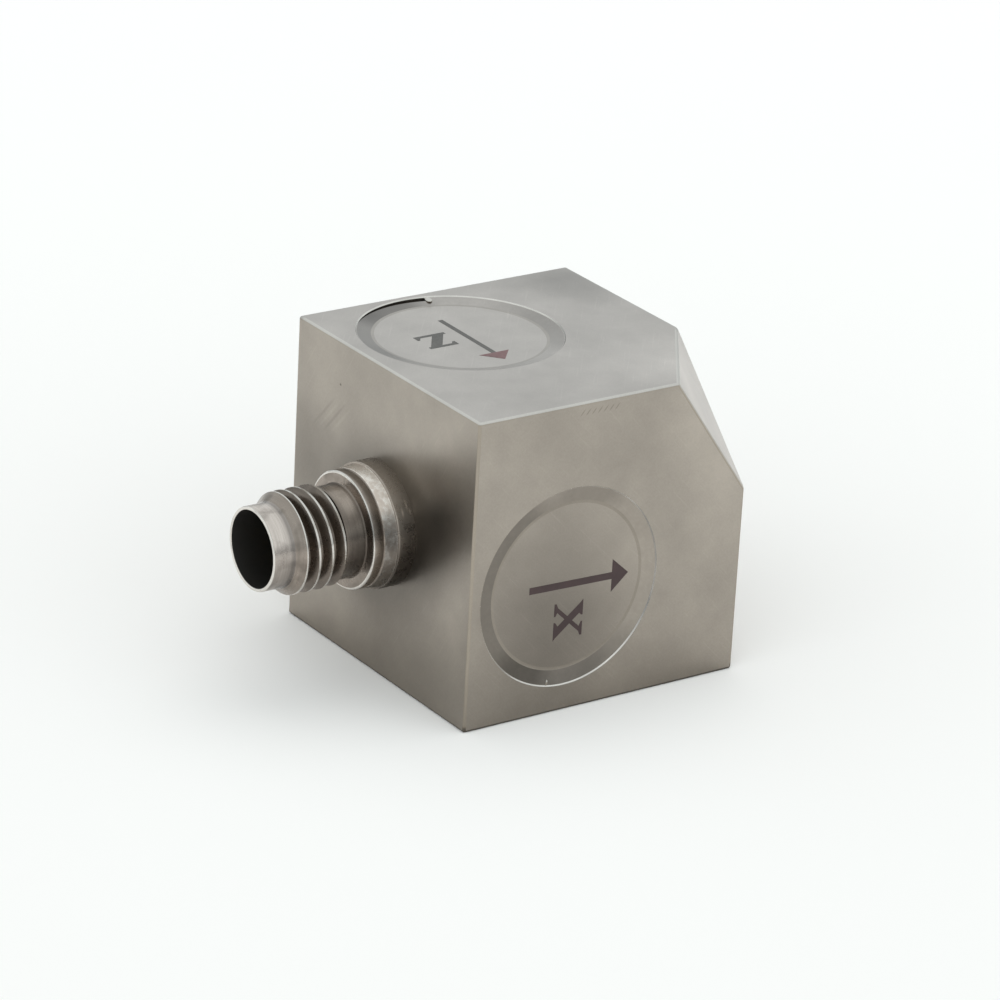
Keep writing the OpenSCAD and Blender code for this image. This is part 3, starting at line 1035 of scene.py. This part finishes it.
@dataclass
class Cover:
    """A welded cover with a sunk floor and an open place in its weld.

    Attributes:
        axis: Measuring direction.
        middle: Middle of the cover on the housing's face.
        radius: Outer radius.
        thickness: Thickness at the rim.
        notch: Angle of the weld's end, from the arrow.
        open_to: Angle at which the open place ends.
        bite: Greatest width of the open place, or zero for none.
        ramp: Width of the ramp down to the floor.
        dish: Depth of the floor.
        drop: Depth of the rim below the housing's face.
        weld: Width by which the weld reaches past the rim into the housing.
        foot_round: Rounding where the ramp meets the floor.
    """

    axis: Axis
    middle: Vector
    radius: float
    thickness: float
    notch: float
    open_to: float
    bite: float
    ramp: float = 0.97
    dish: float = 0.28
    drop: float = 0.07
    weld: float = 0.03
    foot_round: float = 0.1

    @classmethod
    def from_frame(cls, axis: Axis, notch: float, open_to: float, bite: float) -> "Cover":
        """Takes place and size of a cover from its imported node.

        Args:
            axis: Measuring direction.
            notch: Angle of the weld's end.
            open_to: Angle at which the open place ends.
            bite: Greatest width of the open place.

        Returns:
            The cover.
        """
        low, high = box_mm(f"cover_{axis.word}")
        size = sorted(high - low)
        middle = (low + high) / 2 + axis.outward * size[0] / 2
        return cls(axis, middle, size[2] / 2, size[0], notch, open_to, bite)

    @property
    def matrix(self) -> Matrix:
        """The cover's own frame: X along the arrow, Z outwards."""
        return self.axis.at(self.middle)

    def build(self, palette: "Palette") -> None:
        """Models and dresses the cover.

        Args:
            palette: Materials.
        """
        foot = self.radius - self.ramp
        fused = self.radius + self.weld
        piece = lathe(
            f"cover_{self.axis.word}_disc",
            [
                (0.0, -self.thickness),
                (self.radius, -self.thickness),
                (self.radius, -0.5 * self.thickness),
                (fused, -0.4 * self.thickness),
                (fused, -self.drop),
                (self.radius, -self.drop),
                (foot, -self.dish),
                (foot * 0.5, -self.dish),
                (0.0, -self.dish),
            ],
            steps=COVER_STEPS,
            rounds={6: self.foot_round},
        )
        # The covers' metal carries the painted shade of the front cover.
        dress(piece, palette.cover)
        # Painted shade on the ramp beside the weld's end.
        paint(piece, palette.ramp, self.on_ramp)
        # Painted shade in the crease at the ramp's foot.
        paint(piece, palette.foot, self.on_foot)
        if self.bite:
            gap = self.gap_tool()
            # Painted shade: the open place near black.
            dress(gap, palette.burnt)
            combine(piece, gap, Join.CUT)
        drop = self.weld_drop()
        dress(drop, palette.edge)
        combine(piece, drop, Join.ADD)
        place(piece, self.matrix)
        complete(piece, [f"cover_{self.axis.word}"], crease=6.0)

    def on_ramp(self, face: Face) -> bool:
        """Says whether a face in the cover's frame lies between the floor and the rim."""
        inward = self.radius - off_axis(face)
        return 0 < inward < self.ramp + 0.05 and -self.dish < face.center.z < -HAIR / 10

    def on_foot(self, face: Face) -> bool:
        """Says whether a face in the cover's frame lies where the ramp meets the floor."""
        inward = self.radius - off_axis(face)
        return abs(inward - self.ramp) < 0.12 and abs(face.center.z + self.dish) < 0.06

    def gap_tool(self) -> Piece:
        """Models the open place beside the rim, widest at the weld's end.

        Returns:
            The cutting tool in the cover's frame.
        """
        inner, outer, deep, above = self.radius, self.radius + 0.6, -0.36, 0.3
        tool = lathe(
            "gap_tool",
            [(inner, deep), (outer, deep), (outer, above), (inner, above), (inner, deep)],
            steps=48,
            turn=abs(self.open_to - self.notch),
        )
        near, far = math.radians(self.notch), math.radians(self.open_to)
        aside = Vector((-math.sin(far), math.cos(far), 0))
        shift = aside * (-self.bite / math.sin(near - far))
        return place(tool, Matrix.Translation(shift) @ Matrix.Rotation(min(near, far), 4, "Z"))

    def weld_drop(self) -> Piece:
        """Models the small drop where the weld ends.

        Returns:
            The drop in the cover's frame.
        """
        bpy.ops.mesh.primitive_uv_sphere_add(segments=64, ring_count=40, radius=1)
        reach, width = (0.34, 0.22) if self.bite else (0.2, 0.08)
        height, sunk, past_rim = 0.1, 0.12, 0.08
        turn = Matrix.Rotation(math.radians(self.notch), 4, "Z")
        at = Matrix.Translation((self.radius - reach + past_rim, 0, -sunk))
        shape = Matrix.Diagonal((reach, width, height, 1))
        return place(newest("weld_drop"), turn @ at @ shape)


@dataclass
class DirectionMark:
    """Laser-engraved arrow and axis letter on a cover's floor.

    Attributes:
        cover: Cover that carries the mark.
        line: Width of the arrow's shaft.
        tail: Start of the shaft along the arrow.
        neck: Where the head begins.
        tip: Tip of the head.
        half: Half width of the head.
        aside: Distance of the arrow's tail from the cover's middle.
        lean: Distance by which the head lies lower than the tail.
        letter: Place of the letter's middle, along and beside the arrow.
        faded: Whether the mark has faded, its head to a pale red and the rest to grey.
        raise_mm: Height of the marked skin above the floor.
    """

    cover: Cover
    line: float = 0.46
    tail: float = -2.72
    neck: float = 3.33
    tip: float = 4.54
    half: float = 1.08
    aside: float = 0.13
    lean: float = 0.16
    letter: tuple[float, float] = (0.26, -2.34)
    faded: bool = False
    raise_mm: float = 0.006

    def strokes(self) -> list[list[tuple[float, float]]]:
        """Gives the letter with its wedge serifs, with X to its right and Y up.

        Returns:
            The corners of each stroke.
        """
        if self.cover.axis is Axis.X:
            return [
                [(0.52, -1.06), (1.16, -1.06), (-0.52, 1.06), (-1.16, 1.06)],
                [(-1.2, -1.06), (-0.84, -1.06), (1.14, 1.06), (0.78, 1.06)],
                [(-1.2, 1.06), (-0.62, 0.5), (-0.16, 0.95), (-0.16, 1.06)],
                [(0.26, 0.95), (0.72, 0.74), (1.16, 0.9), (1.18, 1.06), (0.26, 1.06)],
                [(-1.24, -1.06), (-0.4, -1.06), (-0.4, -0.95), (-0.8, -0.74), (-1.22, -0.9)],
                [(1.2, -1.06), (0.62, -0.5), (0.0, -0.95), (0.0, -1.06)],
            ]
        if self.cover.axis is Axis.Y:
            return [
                [(-0.3, -1.06), (0.3, -1.06), (0.3, 0.0), (-0.3, 0.0)],
                [(-0.3, -0.1), (0.3, -0.1), (-0.52, 1.06), (-1.12, 1.06)],
                [(-0.1, -0.1), (0.24, -0.1), (0.94, 1.06), (0.6, 1.06)],
                [(-1.28, 0.93), (-0.4, 0.93), (-0.4, 1.06), (-1.28, 1.06)],
                [(0.3, 0.93), (1.2, 0.93), (1.2, 1.06), (0.3, 1.06)],
                [(-0.72, -1.06), (0.72, -1.06), (0.72, -0.93), (-0.72, -0.93)],
            ]
        return [
            [(-0.8, 0.78), (1.2, 0.78), (1.2, 1.05), (-0.8, 1.05)],
            [(-1.06, -1.05), (1.16, -1.05), (1.16, -0.78), (-1.06, -0.78)],
            [(-1.04, -1.0), (-0.2, -1.0), (1.18, 1.0), (0.34, 1.0)],
            [(-0.84, 1.05), (-0.84, 0.52), (-0.68, 0.52), (-0.46, 0.84), (-0.46, 1.05)],
            [(1.16, -1.05), (1.16, -0.46), (1.0, -0.46), (0.75, -0.84), (0.75, -1.05)],
        ]

    def build(self, palette: "Palette") -> None:
        """Models and dresses the mark as a thin skin on the floor.

        Args:
            palette: Materials.
        """
        floor = -self.cover.dish
        low, high = floor - 0.02, floor + self.raise_mm
        w, y, end = self.line / 2, self.aside, self.aside - self.lean
        head = [(self.neck, end - self.half), (self.tip, end), (self.neck, end + self.half)]
        along, beside = self.letter
        strokes = [[(along + v, beside - u) for u, v in stroke] for stroke in self.strokes()]
        shaft = [(self.tail, y - w), (self.neck, end - w)]
        shaft += [(self.neck, end + w), (self.tail, y + w)]
        piece = plate(f"cover_{self.cover.axis.word}_mark", head, low, high)
        dress(piece, palette.blush if self.faded else palette.mark)
        for outline in [shaft, *strokes]:
            stroke = plate("stroke", outline, low, high)
            dress(stroke, palette.faded if self.faded else palette.mark)
            combine(piece, stroke, Join.ADD)
        complete(place(piece, self.cover.matrix))


@dataclass
class Connector:
    """The turned connector shell with its thread.

    Attributes:
        face: Middle of its base on the housing's face.
        spigot_r: Radius of the spigot in the housing.
        spigot_l: Length of the spigot.
        ring_r: Radius of the base ring.
        ring_h: Height of the base ring.
        collar_r: Radius of the collar.
        collar_h: Height of the collar.
        flare: Widening of the collar's rear band towards the base ring.
        groove_z: Place of the groove round the collar.
        groove_half: Half width of that groove.
        groove_deep: Its depth.
        neck_r: Radius of the neck.
        thread_z: Start of the thread.
        nose_z: End of the thread.
        runout: Length over which the thread runs out before the cone.
        cone_l: Length of the cone ahead of the thread.
        nose_r: Radius of the nose.
        rim_z: Front of the nose.
        socket_r: Radius of the socket.
        stop_z: Bottom of the socket.
        contact_r: Radius of the bore behind it.
        seat_z: Seat of the insulator.
        rear_r: Radius of the bore behind the seat.
        thread: Outside thread.
        bevel: Bevel at the thread's rear end.
    """

    face: Vector
    spigot_r: float = 2.87
    spigot_l: float = 2.0
    ring_r: float = 3.95
    ring_h: float = 1.2
    collar_r: float = 3.7
    collar_h: float = 1.6
    flare: float = 0.14
    groove_z: float = 2.08
    groove_half: float = 0.08
    groove_deep: float = 0.1
    neck_r: float = 2.9
    thread_z: float = 4.2
    nose_z: float = 7.13
    runout: float = 0.12
    cone_l: float = 0.6
    nose_r: float = 2.62
    rim_z: float = 9.1
    socket_r: float = 2.4
    stop_z: float = 6.1
    contact_r: float = 2.2
    seat_z: float = 1.0
    rear_r: float = 2.0
    thread: Thread = Thread(crest=3.175, root=2.64, pitch=0.907, shift=-0.62)
    bevel: float = 0.22

    def build(self, palette: "Palette") -> None:
        """Models and dresses the shell.

        Args:
            palette: Materials.
        """
        neck_z = self.ring_h + self.collar_h
        crest = self.thread.crest - HAIR
        profile = [
            (self.rear_r, -self.spigot_l),
            (self.spigot_r, -self.spigot_l),
            (self.spigot_r, 0.0),
            (self.ring_r, 0.0),
            (self.ring_r, self.ring_h),
            (self.collar_r + self.flare, self.ring_h),
            (self.collar_r, self.groove_z - self.groove_half),
            (self.collar_r - self.groove_deep, self.groove_z),
            (self.collar_r, self.groove_z + self.groove_half),
            (self.collar_r, neck_z),
            (self.neck_r, neck_z),
            (self.neck_r, self.thread_z),
            (self.nose_r, self.thread_z),
            (self.nose_r, self.nose_z - self.runout),
            (crest, self.nose_z - self.runout / 2),
            (crest, self.nose_z),
            (self.nose_r, self.nose_z + self.cone_l),
            (self.nose_r, self.rim_z),
            (self.socket_r, self.rim_z),
            (self.socket_r, self.stop_z),
            (self.contact_r, self.stop_z),
            (self.contact_r, self.seat_z),
            (self.rear_r, self.seat_z),
            (self.rear_r, -self.spigot_l),
        ]
        # Rounding of the outer corners, by their number in the profile.
        rounds = {4: 0.1, 5: 0.05, 6: 0.03, 8: 0.03, 9: 0.16, 10: 0.12, 11: 0.08}
        rounds |= {15: 0.05, 16: 0.1, 17: 0.08, 18: 0.05}
        piece = lathe("connector_body", profile, steps=SHELL_STEPS, rounds=rounds)
        # The nose's steel carries painted shade at its foot and lower half.
        dress(piece, palette.steel)
        combine(piece, self.sleeve(), Join.ADD)
        # The heights between which each finish lies, in the order in which they are laid on.
        front, cone_z = neck_z - 0.1, self.nose_z + self.cone_l
        behind = self.groove_z - self.groove_half + HAIR
        # Painted shade: the thread's grooves and the neck darker.
        paint(piece, palette.dull, lambda f: neck_z + HAIR < f.center.z < self.nose_z)
        # Painted shade: the cone and the collar's front, a darker copy of the steel.
        paint(piece, palette.worn, lambda f: behind < f.center.z < neck_z + HAIR)
        paint(piece, palette.worn, lambda f: self.nose_z < f.center.z < cone_z - 0.05)
        # Crests, the collar's edge and the rim: rubbed bright and lighter as painted highlight.
        paint(piece, palette.glint, lambda f: front < f.center.z and self.is_crest(f))
        paint(piece, palette.glint, lambda f: f.center.z > self.rim_z - 0.03)
        # Painted highlight: the rear band lighter.
        paint(piece, palette.band, lambda f: self.ring_h < f.center.z < behind)
        # Base ring: painted shade on its side and painted highlights in streaks.
        paint(piece, palette.weld, lambda f: -HAIR < f.center.z < self.ring_h + HAIR)
        # Painted shade: the bore near black.
        paint(piece, palette.lining, self.is_inside)
        outward = Matrix.Rotation(math.radians(-90), 4, "Y")
        place(piece, Matrix.Translation(self.face) @ outward)
        complete(piece, ["connector_shell"])

    def is_crest(self, face: Face) -> bool:
        """Says whether a face is rubbed bright with painted highlight: a thread's crest or the
        collar's front edge.

        Args:
            face: Face in the connector's frame.

        Returns:
            Whether it lies on the outside of the thread or of the collar's edge.
        """
        if face.center.z < self.ring_h + self.collar_h + HAIR:
            return off_axis(face) > self.collar_r - 0.13
        return off_axis(face) > self.thread.crest - 0.03

    def is_inside(self, face: Face) -> bool:
        """Says whether a face in the connector's frame lies in the bore."""
        return off_axis(face) < self.socket_r + HAIR / 2 and face.center.z < self.rim_z - 0.04

    def sleeve(self) -> Piece:
        """Models the threaded sleeve with its bevelled start.

        Returns:
            The sleeve in the connector's frame.
        """
        inner, margin, proud = (self.socket_r + self.nose_r) / 2, 0.2, 0.02
        low, high = self.thread_z, self.nose_z - 0.03
        outer = self.thread.crest + proud
        rod = self.thread.rod("thread_sleeve", low - margin, self.nose_z + margin)
        envelope = lathe(
            "sleeve_envelope",
            [
                (inner, low),
                (self.thread.crest - self.bevel, low),
                (outer, low + self.bevel + proud),
                (outer, high),
                (inner, high),
                (inner, low),
            ],
            steps=SHELL_STEPS,
        )
        combine(rod, envelope, Join.KEEP)
        return rod


@dataclass(frozen=True)
class Palette:
    """Materials of the outer pieces.

    Attributes:
        ground: Housing, a warm satin grey.
        edge: Broken edges, polished in use and lighter as painted highlight, which draw soft light
            lines, with painted shade at the back and bottom.
        glint: Seats' mouths, thread crests and the rim, rubbed bright and lighter as painted
            highlight, which draw thin lines.
        cover: Covers, the same metal as the housing, with painted shade on the front cover's lower
            left.
        ramp: Ramps of the covers, darker as painted shade beside the end of each weld.
        foot: Feet of the ramps, darker as painted shade in the crease, which draw thin darker
            lines.
        burnt: Open places of the welds, dark as painted shade.
        mark: Laser marks, brown-black and matt.
        faded: Laser marks that have faded to grey.
        blush: Laser marks that have faded to a pale red.
        steel: Nose of the connector, brighter and glossier than the housing, with painted shade at
            its foot and lower half.
        worn: Cone and front of the collar, a brownish and duller copy of the steel, darker as
            painted shade.
        dull: Thread and neck, dark as painted shade in the grooves and on the neck.
        band: Rear band of the collar, lighter as painted highlight, with painted shade lower down.
        weld: Base ring with bright flecks, with painted shade on its side and painted highlights in
            streaks.
        lining: Inside of the socket, nearly black as painted shade.
    """

    ground: Material
    edge: Material
    glint: Material
    cover: Material
    ramp: Material
    foot: Material
    burnt: Material
    mark: Material
    faded: Material
    blush: Material
    steel: Material
    worn: Material
    dull: Material
    band: Material
    weld: Material
    lining: Material

    @classmethod
    def make(cls) -> "Palette":
        """Makes all of them.

        Returns:
            The palette.
        """
        # The block: a stain, painted highlights and painted shade on its faces, the painted shade
        # and reflection of the connector round its base, a pit, scratches and hatching. Then
        # painted shade on the front cover, the ramps and the edges, and painted light on the glints
        # and the connector.
        block_marks_and_painted_light = (
            # A stain on the top.
            SoftPatch((8.5, 8.0, 20.0), (6.0, 6.0, 2.0), 0.72),
            # Painted light: a painted highlight round the cut corner, painted shade and painted
            # light on the right and left faces, and the painted shade and reflection of the
            # connector round its base.
            SoftPatch((8.1, -7.4, 17.4), (7.0, 7.0, 7.0), 1.22, 0.3),
            SoftPatch((-6.0, -10.0, 6.0), (9.5, 2.0, 9.0), 0.83),
            SoftPatch((7.2, -10.0, 10.5), (4.0, 2.0, 5.5), 1.14),
            SoftPatch((-10.0, 8.6, 10.8), (2.0, 4.8, 7.0), 0.68),
            SoftPatch((-10.0, 0.0, 9.4), (2.0, 8.2, 7.6), 0.5, 0.45),
            SoftPatch((-10.0, -6.0, 11.8), (2.0, 5.0, 5.8), 0.42),
            SoftPatch((-10.0, -8.4, 6.2), (2.0, 3.0, 5.0), 1.14),
            SoftPatch((-10.0, -7.5, 16.5), (2.0, 5.0, 5.0), 1.18),
            # A pit, scratches and hatching.
            SoftPatch((-10.0, 5.0, 17.2), (0.5, 0.13, 0.1), 0.45, 0.4),
            *(
                SoftPatch((-10.0, y, 14.9), (0.6, 0.16, 2.3), shade, 0.2, (0.75, 0.0, 0.0))
                for y, shade in ((6.7, 0.87), (6.1, 1.08), (5.5, 0.86), (4.8, 1.08))
            ),
            *(
                SoftPatch((-2.6 + 0.42 * i, -10.0, 19.35), (0.06, 0.5, 0.36), 0.72, 0.3, (0, 0.7, 0))
                for i in range(7)
            ),
        )
        # Painted shade: the front cover darker towards its lower left.
        front_cover_shade = (SoftPatch((-4.2, -10.0, 6.0), (9.0, 2.0, 9.5), 0.6),)
        # Painted shade on the ramps of the covers, beside the end of each weld.
        ramp_shade = (
            SoftPatch((-8.4, -10.0, 7.4), (6.4, 3.0, 9.4), 0.6, 0.7),
            SoftPatch((-4.6, -10.0, 2.0), (6.4, 3.0, 4.2), 0.6, 0.45),
            SoftPatch((10.0, 3.4, 2.5), (3.0, 6.0, 6.0), 0.6, 0.6),
            SoftPatch((-8.0, 5.6, 20.0), (4.2, 6.0, 3.0), 0.6, 0.5),
            SoftPatch((-4.4, 8.8, 20.0), (4.2, 2.8, 3.0), 0.48, 0.3),
            SoftPatch((3.1, 1.4, 20.0), (3.2, 6.2, 3.0), 0.74, 0.4),
            SoftPatch((1.0, -10.0, 2.6), (3.6, 3.0, 2.8), 0.74, 0.3),
            SoftPatch((-1.6, -10.0, 14.2), (3.6, 3.0, 2.6), 0.8, 0.3),
        )
        # Painted shade on the top's back edges and along the bottom edges.
        shaded = (
            SoftPatch((0.0, 10.0, 20.0), (16.0, 0.8, 0.8), 0.6, 0.5),
            SoftPatch((10.0, 4.0, 20.0), (0.8, 9.0, 0.8), 0.6, 0.5),
            SoftPatch((0.0, 0.0, 0.0), (60.0, 60.0, 0.5), 0.4, 0.5),
        )
        shadow = SoftPatch((-12.6, -3.4, 11.4), (0.7, 1.5, 1.4), 0.5, 0.4)
        # Painted shade fading the glints at the right of the front and top covers, the painted
        # shadow on the collar's front edge, and a painted highlight low on the front cover's left.
        glint_painted_light = (
            SoftPatch((3.6, -10.0, 8.6), (3.6, 2.0, 7.4), 0.5, 0.4),
            SoftPatch((3.2, -0.6, 20.0), (3.0, 4.6, 2.0), 0.55, 0.3),
            shadow,
            SoftPatch((-9.2, -10.0, 4.0), (3.0, 2.0, 5.0), 1.3, 0.5),
        )
        # Painted shade on the nose, at its foot and lower half, and on the collar's rear band, low
        # down and in its middle.
        dirt_and_shade = (
            SoftPatch((-18.4, -2.6, 8.0), (3.0, 3.6, 3.6), 0.6, 0.35),
            SoftPatch((-17.72, 0.0, 10.0), (0.5, 20.0, 20.0), 0.5),
            SoftPatch((-12.0, -3.6, 8.0), (2.0, 4.6, 4.6), 0.36, 0.5),
            SoftPatch((-11.5, -3.6, 11.0), (1.2, 2.2, 1.7), 0.45, 0.4),
        )
        # Painted highlight on the top of the neck, painted shade on its side below, and the painted
        # shadow on the collar's front edge.
        neck_painted_light = (
            SoftPatch((-13.5, -0.9, 12.7), (0.9, 2.2, 1.6), 2.0, 0.3),
            SoftPatch((-13.4, -2.9, 9.6), (1.0, 2.0, 2.3), 0.54, 0.4),
            shadow,
        )
        # Painted shade on the base ring's side and painted highlights in three streaks.
        ring_painted_light = (
            SoftPatch((-10.6, -3.9, 7.6), (2.0, 5.0, 5.2), 0.3, 0.3),
            *(
                SoftPatch((x, -3.3, z), (0.11, 0.9, long), 1.9)
                for x, z, long in ((-10.3, 12.4, 0.5), (-10.16, 12.0, 0.3), (-10.68, 12.0, 0.4))
            ),
        )
        oxide = {"roughness": 0.42, "grain_mm": 0.15, "mottle": 0.15}
        finishes = {
            "ground": GroundMetal(
                "ground_titanium", "B8B2AD", 0.32, grain_mm=0.12, relief_mm=0.001, soft_patches=block_marks_and_painted_light
            ),
            "edge": GroundMetal(
                "edge_polished_titanium",
                "CECAC4",
                0.3,
                relief_mm=0.0003,
                mottle=0.04,
                scratch=0.0,
                film="C8C1B8",
                soft_patches=shaded,
            ),
            "glint": Finish(
                "rubbed_bright_metal",
                "DAD6D0",
                0.22,
                metallic=1.0,
                grain_mm=0.2,
                relief_mm=0.0005,
                soft_patches=glint_painted_light,
            ),
            "cover": GroundMetal(
                "cover_ground_titanium",
                "B8B2AD",
                0.3,
                grain_mm=0.12,
                relief_mm=0.001,
                soft_patches=front_cover_shade,
            ),
            "ramp": GroundMetal(
                "weld_tinted_titanium", "B4AEA9", 0.3, grain_mm=0.3, relief_mm=0.0005, soft_patches=ramp_shade
            ),
            "foot": GroundMetal("soiled_titanium", "A9A39D", 0.34, relief_mm=0.0005),
            "burnt": Finish("heat_darkened_weld", "4A4540", 0.45, metallic=0.8, relief_mm=0.004),
            "mark": Finish("laser_oxide_brown", "3E2B2B", **oxide),
            "faded": Finish("laser_oxide_grey", "4C4945", **oxide),
            "blush": Finish("laser_oxide_red", "6E4B4B", **oxide),
            "steel": TurnedMetal("turned_stainless", "D2C8C0", 0.2, soft_patches=dirt_and_shade),
            "worn": TurnedMetal("worn_stainless", "9A9087", 0.26, soft_patches=neck_painted_light),
            "dull": TurnedMetal("oil_dulled_stainless", "7A7169", 0.26, soft_patches=neck_painted_light),
            "band": FleckedMetal(
                "spotted_stainless",
                "DACEC3",
                0.3,
                relief_mm=0.004,
                fleck="F4EEE6",
                bare=0.45,
                soft_patches=dirt_and_shade,
            ),
            "weld": FleckedMetal(
                "heat_tinted_base_ring", "A89E94", 0.3, relief_mm=0.006, bare=0.62, soft_patches=ring_painted_light
            ),
            "lining": Finish("blackened_socket_wall", "201E1B", 0.5),
        }
        return cls(**{use: finish.material() for use, finish in finishes.items()})


@dataclass
class Studio:
    """Pale floor, soft light and the camera.

    Attributes:
        floor_m: Side of the floor.
        floor_colour: Colour of the floor, sRGB hex.
        sky_colour: Colour of the bright surroundings, sRGB hex.
        key_light: Power of the soft lamp in watts.
        key_at: Place of the lamp in metres.
        key_size: Side of the lamp in metres.
        sky_strength: Brightness of the surroundings overhead.
        horizon: Their brightness at the horizon.
        clear_at: Height in a unit sphere above which they are fully bright.
        eye_mm: Place of the camera.
        azimuth: Angle of the camera round the object.
        elevation: Angle of the camera above the floor.
        roll: Tilt of the camera about its own line of sight.
        lens_mm: Focal length.
        sensor_mm: Width of the camera's sensor.
        clip_m: Nearest and farthest distance that the camera sees.
    """

    floor_m: float = 3.0
    floor_colour: str = "FCFAF8"
    sky_colour: str = "F8FEFF"
    key_light: float = 1.0
    key_at: Triple = (0.16, 0.1, 0.6)
    key_size: float = 0.5
    sky_strength: float = 0.92
    horizon: float = 0.5
    clear_at: float = 0.3
    eye_mm: Triple = (-156.29, -219.485, 121.871)
    azimuth: float = -35.246
    elevation: float = 22.645
    roll: float = 3.133
    lens_mm: float = 169.94
    sensor_mm: float = 36.0
    clip_m: tuple[float, float] = (0.005, 20.0)

    def build(self) -> None:
        """Sets up floor, surroundings, lamp and camera."""
        self.lay_floor()
        self.light()
        self.set_camera()
        bpy.context.scene.view_settings.view_transform = "Standard"

    def lay_floor(self) -> None:
        """Lays the flat matt floor."""
        bpy.ops.mesh.primitive_plane_add(size=self.floor_m)
        floor = newest("floor")
        material = empty_material("floor_paper")
        tree = material.node_tree
        matt = {"Color": linear(self.floor_colour), "Roughness": 1.0}
        shader = add_node(tree, "ShaderNodeBsdfDiffuse", matt)
        add_node(tree, "ShaderNodeOutputMaterial", {"Surface": shader.outputs[0]})
        floor.data.materials.append(material)

    def light(self) -> None:
        """Makes the white surroundings, darker at the horizon, and the soft lamp overhead."""
        world = bpy.data.worlds.new("studio")
        bpy.context.scene.world = world
        world.use_nodes = True
        tree = world.node_tree
        tree.nodes.clear()
        ahead = add_node(tree, "ShaderNodeTexCoord").outputs["Generated"]
        height = add_node(tree, "ShaderNodeSeparateXYZ", {0: ahead}).outputs["Z"]
        strength = add_node(
            tree,
            "ShaderNodeMapRange",
            {0: height, 1: 0.0, 2: self.clear_at, 3: self.horizon, 4: self.sky_strength},
            interpolation_type="SMOOTHSTEP",
        )
        glow = {"Color": linear(self.sky_colour), "Strength": strength.outputs[0]}
        sky = add_node(tree, "ShaderNodeBackground", glow)
        add_node(tree, "ShaderNodeOutputWorld", {"Surface": sky.outputs[0]})
        bpy.ops.object.light_add(type="AREA", location=self.key_at)
        lamp = bpy.context.object
        lamp.name = "soft_lamp"
        lamp.rotation_euler = Vector(self.key_at).to_track_quat("Z", "Y").to_euler()
        lamp.data.size = self.key_size
        lamp.data.energy = self.key_light
        lamp.visible_glossy = False

    def set_camera(self) -> None:
        """Places the camera at the photograph's point of view."""
        bpy.ops.object.camera_add()
        camera = bpy.context.object
        camera.name = "camera"
        turn = Matrix.Rotation(math.radians(self.azimuth), 4, "Z")
        tilt = Matrix.Rotation(math.radians(90 - self.elevation), 4, "X")
        roll = Matrix.Rotation(math.radians(self.roll), 4, "Z")
        camera.matrix_world = Matrix.Translation(Vector(self.eye_mm) * MM) @ turn @ tilt @ roll
        camera.data.lens = self.lens_mm
        camera.data.sensor_width = self.sensor_mm
        camera.data.clip_start, camera.data.clip_end = self.clip_m
        bpy.context.scene.camera = camera


@dataclass
class Insides:
    """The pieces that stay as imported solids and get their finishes."""

    def dress(self) -> None:
        """Gives each inner node its finish."""
        plated = {"metallic": 1.0, "relief_mm": 0.001}
        nodes = {
            "connector_insulator": Finish("glass_filled_peek_black", "1C1C1E", 0.5),
            "contact_pins": Finish("gold_plated_pins", "D9AE54", 0.25, grain_mm=0.06, **plated),
            "clamp_bolts": TurnedMetal("bolt_steel", "8E8E90", 0.3),
            "clamp_nuts": TurnedMetal("nut_steel", "908F8A", 0.32),
            "charge_wires": Finish("bare_wire_gold", "CDB474", 0.3, grain_mm=0.05, **plated),
            "lead_x": Finish("extruded_ptfe_white", "DCDCD7", 0.4),
            "lead_y": Finish("extruded_ptfe_red", "BE2A24", 0.4),
            "lead_z": Finish("extruded_ptfe_blue", "344D9E", 0.4),
            "lead_common": Finish("extruded_ptfe_black", "222222", 0.4),
        }
        shared = {
            "post": GroundMetal("machined_titanium", "A29E98", 0.4),
            "crystals": Finish("fired_piezo_ceramic", "D4C7A3", 0.55),
            "masses": Finish("sintered_tungsten", "626266", 0.38, metallic=1.0, grain_mm=0.05),
            "board": Finish("solder_mask_green", "1C5C34", 0.35),
            "amplifier": Finish("moulded_epoxy_black", "19191B", 0.55),
        }
        made = {name: finish.material() for name, finish in nodes.items()}
        for stem, finish in shared.items():
            material = finish.material()
            made |= {f"{stem}_{axis.word}": material for axis in Axis}
        for name, material in made.items():
            node = frame["nodes"][name]
            if node.material_slots:
                node.material_slots[0].material = material
            else:
                node.data.materials.append(material)
            LOG.info("%s: dressed", name)


def main() -> None:
    """Builds the studio and every piece."""
    logging.basicConfig(level=logging.INFO)
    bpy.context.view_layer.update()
    Studio().build()
    palette = Palette.make()
    covers = [
        Cover.from_frame(Axis.X, notch=-101.2, open_to=-150.0, bite=0.0),
        Cover.from_frame(Axis.Y, notch=150.0, open_to=200.0, bite=0.2),
        Cover.from_frame(Axis.Z, notch=165.5, open_to=225.0, bite=0.36),
    ]
    low, high = box_mm("housing")
    housing = Housing(low, high)
    housing.build(covers, palette)
    for cover in covers:
        cover.build(palette)
    for cover in covers[:2]:
        DirectionMark(cover).build(palette)
    DirectionMark(
        covers[2],
        line=0.34,
        tail=-2.92,
        neck=3.2,
        tip=4.42,
        aside=0.42,
        lean=0.1,
        letter=(-0.04, -1.61),
        faded=True,
    ).build(palette)
    Connector(Vector((low.x, 0, housing.middle_z))).build(palette)
    Insides().dress()
    bpy.context.view_layer.update()


if __name__ == "__main__":
    main()
